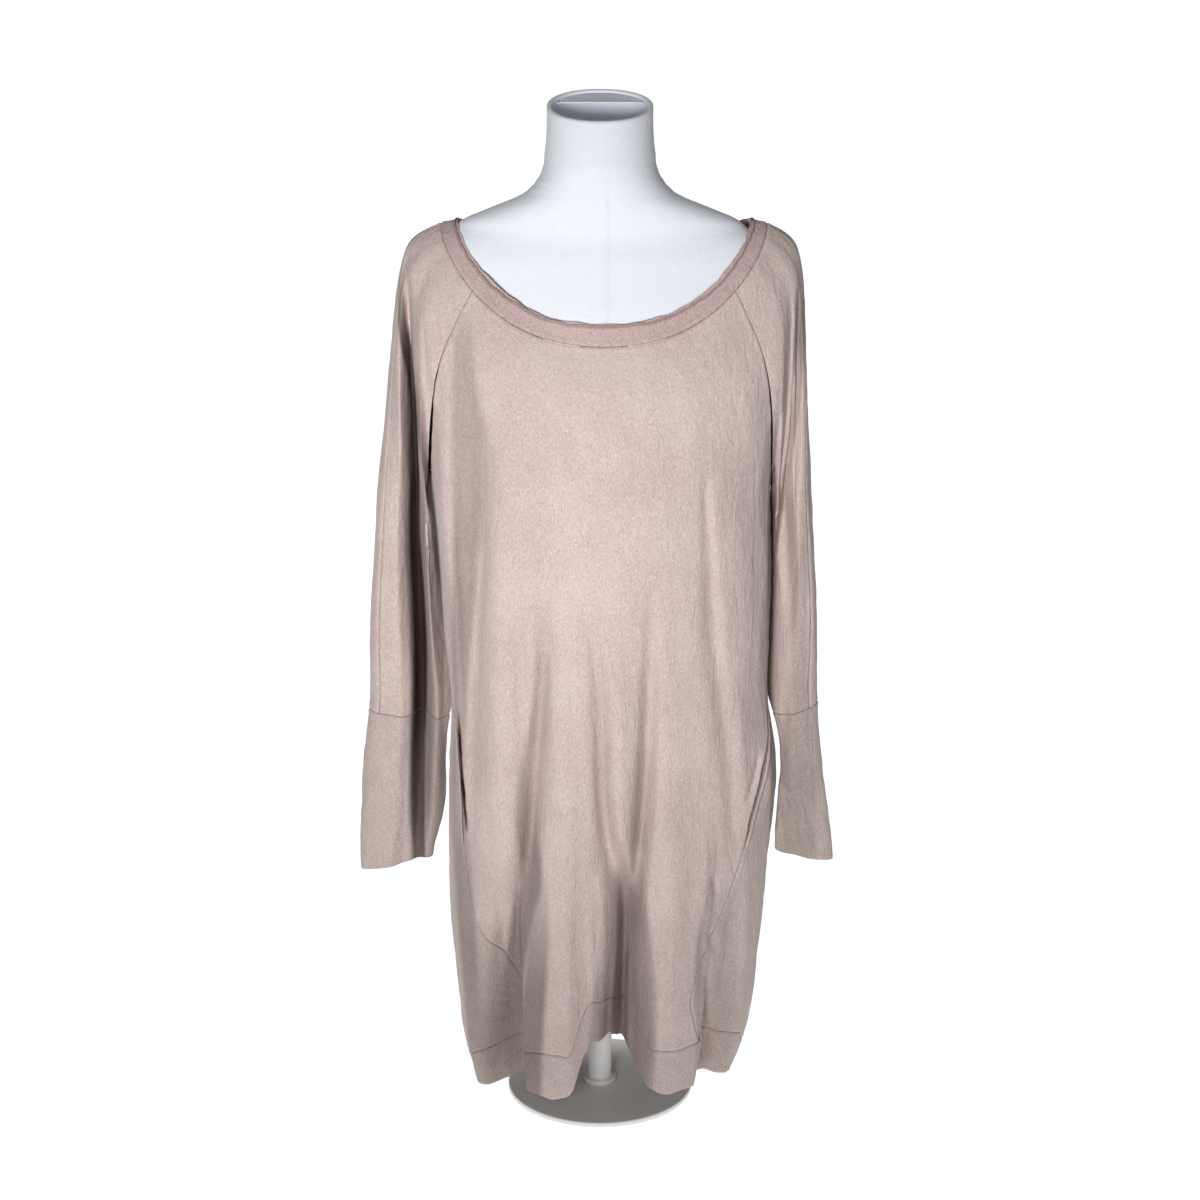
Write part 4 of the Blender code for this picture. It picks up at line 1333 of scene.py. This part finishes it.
turn = np.linspace(-180, 180, 421)[1:]
outer = band_layer(turn, 0.0, 0.97, seed=3, off=0.0003, roll=0.0016)
neck_band = cloth("neck_band", outer[::-1], jersey_band, "low", closed=True, wall=BAND_WALL)
# Painted shade along the rolled raw edge: the first rows of the outer band darken.
shade_rows(neck_band, (0.1, 0.5, 0.2), len(turn))  # the fold of the rolled edge
front_share = ramp(np.cos(np.radians(turn)), -0.2, 0.8)
beside = bump((np.abs(turn) - 62) / 45, 0.3)  # the inner layer shows most at the shoulders
inner = band_layer(turn, 0.45, 1.04 + 0.12 * beside, seed=11, off=-0.0007, roll=0.0009)
inner[..., 1] += INNER_BACK * front_share * np.linspace(0, 1, BAND_ROWS)[:, None]
quads = grid_quads(BAND_ROWS, len(turn), True, False)
neck_inner = add_piece("neck_band_inner_edge", inner[::-1], quads, jersey_band, "jersey")
add_wall(neck_inner, BAND_WALL)

# %% [markdown]
# ## The pockets
#
# Each pocket is a slanting mouth in the side seam. A narrow welt finishes the side panel's
# edge of it, and the bag lies behind both panels. A dark stripe could stand for a mouth, but
# real depth lets the light decide, so the bag is a sheet of its own, 10 mm further in. The
# right mouth's slit also gets a stripe of painted shade, among the shades of the deep folds.

# %% Pockets
WELT_WIDE, WELT = 2.4, 0.0010  # turn across a welt, and its wall
MOUTH_END = 0.010  # a welt ends this far inside the mouth, a bag this far below it
BAG_IN, BAG_WIDE = 0.0100, 13.0  # depth of a bag inside the panels, turn to each side


def mouth_strip(side, start_turn, end_turn, low, high, out, columns, count):
    """Grid along a pocket mouth, between two turns from the seam and two heights."""
    height = np.linspace(high, low, count)[:, None]
    turn = seam_turn(side, height) + np.linspace(start_turn, end_turn, columns)
    return body(SIDES[side] * turn, height, out)


for side, sign in SIDES.items():
    out = 0.0004 + 0.0008 * bump(np.linspace(-1, 1, 9), 0.2)  # a welt is rounded across
    low, high = POCKET_LOW + MOUTH_END, POCKET_HIGH - MOUTH_END
    welt = mouth_strip(side, 0.3, WELT_WIDE, low, high, out, columns=9, count=70)
    made = cloth(f"pocket_welt_{side}", welt, jersey_body, turned=sign == -1, wall=WELT)
    low, high = POCKET_LOW - MOUTH_END, POCKET_HIGH
    bag = mouth_strip(side, -BAG_WIDE, BAG_WIDE, low, high, -BAG_IN, columns=24, count=50)
    made = cloth(f"pocket_bag_{side}", bag, jersey_side_shaded, turned=sign == -1)

# %% [markdown]
# ## The stitches
#
# The panels are joined on an overlock machine, whose thread shows as small rungs in the
# valley of each seam, 2.6 mm apart. A picture of stitches would lie flat in the valley. Each
# rung is therefore one short rounded bar, of so few faces that thousands stay light.

# %% Stitches
def thread(name, code):
    """Spun polyester sewing thread: matte, with a little fuzz and an uneven dye."""
    made, tree, shader, place = new_material(name, rough=0.75, sheen=0.3, code=code)
    level = ranged(tree, noise(tree, place, scale=300.0), 0.0, 1.0, start=0.7, end=1.3)
    dyed = node(tree, "ShaderNodeHueSaturation", {"Color": linear(code), "Value": level})
    set_up(shader, {"Base Color": dyed.outputs[0]})
    return made


BAR = np.array([(-0.5, 0.4), (-0.3, 1.0), (0.3, 1.0), (0.5, 0.4)])  # place along, thickness


def stitches(name, paths, finish, slot, spacing, length, radius):
    """Rounded square bars at even steps along paths of points and normals, half sunk."""
    centres, aheads, ups = [], [], []
    for points, normals in paths:
        run = np.insert(np.cumsum(np.linalg.norm(np.diff(points, axis=0), axis=1)), 0, 0.0)
        at = np.arange(spacing / 2, run[-1], spacing)
        here, ahead, up = (
            np.stack([np.interp(a, run, values[:, i]) for i in range(3)], -1)
            for a, values in ((at, points), (at + spacing / 4, points), (at, normals))
        )
        ahead = ahead - here
        ahead /= np.maximum(np.linalg.norm(ahead, axis=1, keepdims=True), 1e-9)
        centres, aheads, ups = centres + [here], aheads + [ahead], ups + [up]
    here, ahead, up = (np.concatenate(v)[:, None, None] for v in (centres, aheads, ups))
    beside = np.cross(ahead, up)
    corner = np.radians([45, 135, 225, 315])[None, None, :, None]
    place, thick = BAR[:, 0][None, :, None, None], BAR[:, 1][None, :, None, None]
    points = here + ahead * place * length
    points = points + (up * np.sin(corner) + beside * np.cos(corner)) * thick * radius
    one = np.concatenate([grid_quads(4, 4, True, False), [[0, 1, 2, 3], [15, 14, 13, 12]]])
    quads = (np.arange(len(here))[:, None, None] * 16 + one).reshape(-1, 4)
    return add_piece(name, points, quads, finish, slot)


def edge_of(name, row=None, column=None, keep=slice(None)):
    """Points and normals along one edge of a sewn piece."""
    points, normals = SEWN[name]
    pick = (row, slice(None)) if column is None else (slice(None), column)
    return points[pick][keep], normals[pick][keep]


def part_edge(name, column, low, high):
    """The stretch of an upright edge between two heights."""
    points, normals = edge_of(name, column=column)
    inside = (points[:, 2] > low) & (points[:, 2] < high)
    return points[inside], normals[inside]


OVERARM_TOP = 0.915  # the seam over the arm is stitched up to this height
seams = [edge_of("neck_band", row=-1), edge_of("hem_band", row=0)]
for side in SIDES:
    seams += [edge_of(f"cuff_{side}", row=0)]
    seams += [part_edge(f"sleeve_front_{side}", 0, 0.0, OVERARM_TOP)]
for column in (0, -1):
    seams += [part_edge("front_panel", column, POCKET_HIGH, 1.0)]
    seams += [edge_of("back_panel", column=column)]
    seams += [part_edge("front_panel", column, 0.0, POCKET_LOW)]
seam_thread = thread("seam_thread", "#8A7066")
stitched = stitches(
    "seam_stitches", seams, seam_thread, "jersey", spacing=0.0026, length=0.0015, radius=0.00028
)
print("stitches", len(stitched.data.polygons), "faces")

# %% [markdown]
# ## The dress form
#
# The form is one smooth torso that ends in a short neck with an open top, covered in tight
# white cloth. Its outside, rim and recess are one profile carried round the axis. Between
# the shoulders and the neck its front is a little fuller than in the CAD, to stay smooth.

# %% Form cover
NECK_TOP, NECK_FOOT, FORM_FOOT = 1.0455, 0.985, 0.430
NECK_TILT = math.tan(math.radians(15.5))
NECK_WALL, NECK_RECESS = 0.005, 0.034
FORM = table(
    "height half_width front back",
    (430, 138, 84, 100), (434, 140, 86, 102), (500, 138, 90, 101), (600, 121, 89, 83),
    (680, 134, 102, 86), (745, 151, 110, 93), (800, 163, 94, 94), (850, 176, 74, 86),
    (885, 184, 58, 72), (905, 184, 50, 60), (913, 177, 46.4, 56), (920, 163, 44.2, 53),
    (928, 146, 43.2, 49), (936, 136, 43.5, 49), (944, 118, 44.6, 49), (952, 98, 46, 49),
    (959, 81, 47.5, 50), (967, 69.3, 49, 51), (975, 62.3, 50.7, 51.5), (985, 57, 52.5, 52.5),
    (1000, 54.5, 51.5, 51.5), (1020, 52.5, 50.5, 50.5), (1045.5, 52, 50, 50),
    unit=MM,
)


# The old fold down the front of the cover is not modelled: a grey line of painted shade stands for
# it.
CREASE_AT, CREASE_WIDE = 0.0075, 0.0045  # the faint fold down the front of the cover
CREASE_TOP, CREASE_PAINTED_SHADE = (0.985, 0.955), 0.10  # heights where it sets in, and its strength


def form_cover_material():
    """Tight polyester cover over foam: cool white, matte, with a 2 mm weave that is drawn
    coarse enough to show, and a faint grey line of painted shade for an old fold down its front."""
    made, tree, shader, place = new_material(
        "form_cover_cloth", rough=0.72, sheen=0.1, code="#E6EAF2"
    )
    weave = noise(tree, place, scale=420.0)
    x, y, z = node(tree, "ShaderNodeSeparateXYZ", {"Vector": place}).outputs
    # The painted shade of the fold: a grey line down the front, below the neck.
    aside = maths(tree, "ABSOLUTE", maths(tree, "SUBTRACT", x, CREASE_AT))
    line = ranged(tree, aside, 0.0, CREASE_WIDE, CREASE_PAINTED_SHADE, 0.0)
    below = maths(tree, "MULTIPLY", maths(tree, "LESS_THAN", y, 0.0), ranged(tree, z, *CREASE_TOP))
    line = maths(tree, "MULTIPLY", line, below)
    cover = mixed(tree, line, mixed(tree, weave, "#E4E8F1", "#F5F8FD"), "#A9AFC0")
    set_up(shader, {"Base Color": cover})
    set_up(shader, {"Normal": relief(tree, weave, strength=0.35, distance=0.0003)})
    return made


form_cloth = form_cover_material()
turn = np.linspace(0, 360, 181)[:-1]
outside = np.concatenate([
    np.linspace(FORM_FOOT, 0.900, 90)[:-1],
    np.linspace(0.900, NECK_FOOT, 60)[:-1],
    np.linspace(NECK_FOOT, NECK_TOP, 26),
])[:, None]
tilt = np.clip((outside - NECK_FOOT) / (NECK_TOP - NECK_FOOT), 0, 1) ** 2


def form_ring(height, inset, lean, drop=0.0):
    """Ring of the form: an oval of the table's size less an inset, leaning forward."""
    half, front, back = (along(FORM, n, height) - inset for n in ("half_width", "front", "back"))
    x, y = oval(turn, half, half, front, back, FORM_POWER)
    return np.stack([x, y, height + lean * NECK_TILT * y - drop + 0 * x], -1)


FOOT_IN, FOOT_DRAWN = 0.005, (0.44, 0.56)  # the cover draws the foam in at its lower edge
lip = np.linspace(0, math.pi, 9)[1:-1][:, None]
half_wall = NECK_WALL / 2
crown = -0.6 * half_wall * np.sin(lip)  # the rim is rounded, a little flat
rim = form_ring(NECK_TOP + 0 * lip, half_wall * (1 - np.cos(lip)), 1.0, crown)
sink = np.linspace(0, 1, 20)[:, None]
inside = form_ring(NECK_TOP + 0 * sink, NECK_WALL + 0.002 * sink, 1 - sink, NECK_RECESS * sink)
shrink = np.linspace(0, 1, 12)[1:-1][:, None]
to_axis = np.concatenate([shrink, shrink, 0 * shrink + 1], -1)[:, None, :]
foot = form_ring(np.array([[FORM_FOOT]]), FOOT_IN, 0.0)
torso = form_ring(outside, FOOT_IN * (1 - ramp(outside, *FOOT_DRAWN)), tilt)
points = np.concatenate([foot * to_axis, torso, rim, inside, inside[-1:] * to_axis[::-1]])
quads = grid_quads(*points.shape[:2], True, False)
add_piece("dress_form", points[::-1], quads, form_cloth, "form_cover", "form_torso", "form_neck")
print("form", len(quads), "faces")

# The neck is closed at the back by a stitched flap of the cover, just below the rim. A small
# dark hook holds each end of it.
FLAP_AT, FLAP_DROP, FLAP_WALL, FLAP_CLEAR = 0.017, 0.0026, 0.0012, 0.0006
FLAP_HALF, FLAP_SAG = 0.0425, 0.0008  # half width of its front edge, sag of its middle
RIM_HALF, RIM_BACK = 0.052, 0.050  # reach of the rim outside
HOOK_HALF, HOOK_RADIUS = 0.0418, 0.0021


def flap_level(y):
    """Height of the flap: in the slope of the rim, a little below it."""
    return NECK_TOP + NECK_TILT * y - FLAP_DROP


across = np.linspace(-1, 1, 61) * FLAP_HALF
wide, deep = (reach - NECK_WALL - FLAP_CLEAR for reach in (RIM_HALF, RIM_BACK))
far = deep * np.sqrt(1 - (across / wide) ** 2)
share = np.linspace(0, 1, 14)[:, None]
y = FLAP_AT + (np.maximum(far, FLAP_AT + 0.001) - FLAP_AT) * share
points = np.stack([across + 0 * y, y, flap_level(y) - FLAP_SAG * np.sin(math.pi * share)], -1)
flap_quads = grid_quads(14, 61, False, False)
add_wall(add_piece("form_neck_flap", points, flap_quads, form_cloth, "form_cover"), FLAP_WALL)

up = np.array([0.0, -NECK_TILT, 1.0]) / math.hypot(NECK_TILT, 1)
line = np.linspace(-0.040, 0.040, 9)
y = FLAP_AT + 0.0012 + 0 * line
rows = [(np.stack([line, y, flap_level(y) + 0.0001], -1), up + np.zeros((9, 3)))]
white_thread = thread("white_thread", "#F2F4F8")
stitches(
    "flap_stitches", rows, white_thread, "form_cover", spacing=0.0036, length=0.0024, radius=0.0005
)

bend = np.radians(np.linspace(-60, 150, 9))
y = FLAP_AT + 0.0035 + HOOK_RADIUS * np.sin(bend)
hooks = []
for end in (-HOOK_HALF, HOOK_HALF):
    points = np.stack([end + HOOK_RADIUS * np.cos(bend), y, flap_level(y) + 0.0004], -1)
    hooks.append((points, up + 0 * points))
dark_thread = thread("dark_thread", "#3A3F48")
stitches(
    "flap_hooks", hooks, dark_thread, "form_cover", spacing=0.0010, length=0.0013, radius=0.0005
)

# %% [markdown]
# ## The stand
#
# The form stands on a short pole and a round plate of powder coated steel. Cylinders would
# do, but their sharp edges catch no light. Both are therefore turned shapes, a profile with
# small roundings carried round the axis.

# %% Stand
def stand_paint():
    """Powder coat: satin white with the faint dimples of the baked powder (3 mm)."""
    made, tree, shader, place = new_material(
        "white_powder_coat", rough=0.45, sheen=0.0, code="#F7F7F5"
    )
    dimple = noise(tree, place, scale=300.0, detail=1.0)
    set_up(shader, {"Normal": relief(tree, dimple, strength=0.2, distance=0.0002)})
    return made


paint = stand_paint()


def turned_piece(name, profile, sides, finish, slot, *nodes):
    """A profile of (radius, height) pairs carried round the axis, closed at both ends."""
    turn = np.linspace(0, 2 * math.pi, sides + 1)[:-1]
    radius, height = np.array(profile, float).T[..., None]
    points = np.stack([radius * np.sin(turn), -radius * np.cos(turn), height + 0 * turn], -1)
    quads = grid_quads(*points.shape[:2], True, False)
    return add_piece(name, points[::-1], quads, finish, slot, *nodes)


NIP = 0.0002  # radius at which a profile starts, on the axis but for this
POLE, POLE_TOP, COLLAR = 0.0125, 0.4297, 0.0180
PLATE, PLATE_TOP, PLATE_EDGE = 0.1000, 0.0060, 0.0016  # radius, height, rounding of the edge
pole = [(NIP, 0.0063), (COLLAR, 0.0063), (COLLAR, 0.0105), (COLLAR - 0.0008, 0.0115)]
pole += [(POLE + 0.0005, 0.0115)]
pole += [(POLE, h) for h in np.linspace(0.0125, POLE_TOP, 12)] + [(NIP, POLE_TOP)]
turned_piece("stand_pole_steel", pole, 64, paint, "stand_paint", "stand_pole")
plate = [(NIP, 0.0), (PLATE - 0.0010, 0.0), (PLATE - 0.0003, 0.0004), (PLATE, 0.0012)]
plate += [
    (PLATE - PLATE_EDGE * (1 - math.cos(a)), PLATE_TOP - PLATE_EDGE * (1 - math.sin(a)))
    for a in np.linspace(0, math.pi / 2, 6)
]
plate += [(0.06, PLATE_TOP), (NIP, PLATE_TOP)]
turned_piece("stand_base_steel", plate, 128, paint, "stand_paint", "stand_base")
print("pole of", len(pole), "rings and plate of", len(plate))

# %% [markdown]
# ## Floor and light
#
# The floor is a white paper sweep: it runs flat under the stand, then curves up into a wall
# behind it, so no horizon shows. The camera sees it and the surround as plain white, but
# they light the cloth less than that, so that its folds keep their shade. The key light is
# one soft spot beside the camera, a little from the left of the view.

# %% Floor and light
SWEEP_HALF, SWEEP_NEAR, SWEEP_FAR, SWEEP_BEND, SWEEP_TOP = 6.0, -5.0, 2.2, 1.6, 6.0
# The sweep's painted glow: emission that lights the back of the cloth where there is no lamp.
PAINTED_GLOW_NEAR, PAINTED_GLOW_WIDE = (-0.60, -0.28), (1.8, 2.4)  # where the sweep's own light sets in and ends
SURROUND = 0.14  # strength of the surround as the object sees it


def seen_by_camera(tree):
    """Output that is 1 for what the camera sees directly, and 0 for the light on things."""
    return node(tree, "ShaderNodeLightPath", {}).outputs["Is Camera Ray"]


def sweep_paper():
    """White paper sweep, matte. Behind the form it glows by a painted emission in place of
    lamps, less to both sides, and it is plain white to the camera."""
    made, tree, shader, place = new_material(
        "matte_white_sweep", rough=0.9, sheen=0.0, code="#8C8C8C"
    )
    x, y, _ = node(tree, "ShaderNodeSeparateXYZ", {"Vector": place}).outputs
    # Painted glow: emission strongest behind the form, fading to both sides.
    aside = ranged(tree, maths(tree, "ABSOLUTE", x), *PAINTED_GLOW_WIDE, start=1.0, end=0.25)
    painted_glow = maths(tree, "MULTIPLY", ranged(tree, y, *PAINTED_GLOW_NEAR, start=0.05, end=1.0), aside)
    shown = maths(tree, "MAXIMUM", painted_glow, seen_by_camera(tree))
    set_up(shader, {"Emission Color": linear("#FFFFFF"), "Emission Strength": shown})
    return made


bend = np.radians(np.linspace(0, 90, 25))
behind = SWEEP_FAR + SWEEP_BEND * np.sin(bend)
behind = np.concatenate([[SWEEP_NEAR], behind, [SWEEP_FAR + SWEEP_BEND]])[:, None]
above = np.concatenate([[0.0], SWEEP_BEND * (1 - np.cos(bend)), [SWEEP_TOP]])[:, None]
across = np.array([-SWEEP_HALF, SWEEP_HALF])
points = np.stack(np.broadcast_arrays(across, behind, above), -1).reshape(-1, 3)
mesh = bpy.data.meshes.new("paper_sweep")
mesh.from_pydata(points.tolist(), [], grid_quads(len(behind), 2, False, False).tolist())
mesh.shade_smooth()
mesh.materials.append(sweep_paper())
sweep = bpy.data.objects.new("paper_sweep", mesh)
bpy.context.scene.collection.objects.link(sweep)

world = bpy.data.worlds.new("studio")
world.use_nodes = True
bpy.context.scene.world = world
tree = world.node_tree
light = maths(tree, "MAXIMUM", seen_by_camera(tree), SURROUND)
set_up(tree.nodes["Background"], {"Color": linear("#FFFFFF"), "Strength": light})


def lamp(name, place, aim, size, angle, power):
    """A round soft spot that faces a point, brightest in its middle, hidden from the camera."""
    data = bpy.data.lights.new(name, "SPOT")
    data.shadow_soft_size, data.energy = size, power
    data.spot_size, data.spot_blend = math.radians(angle), 1.0
    made = bpy.data.objects.new(name, data)
    bpy.context.scene.collection.objects.link(made)
    made.location = place
    x, y, z = np.array(place) - np.array(aim)
    made.rotation_euler = (math.atan2(math.hypot(x, y), z), 0.0, math.atan2(y, x) + math.pi / 2)
    made.visible_camera = False
    return made


lamp("key", (-0.30, -1.85, 0.84), aim=(0, 0, 0.66), size=0.22, angle=46.0, power=138.0)
bpy.context.scene.view_settings.view_transform = "Standard"
print("sweep", 2 * SWEEP_HALF, "m wide, surround at", SURROUND)
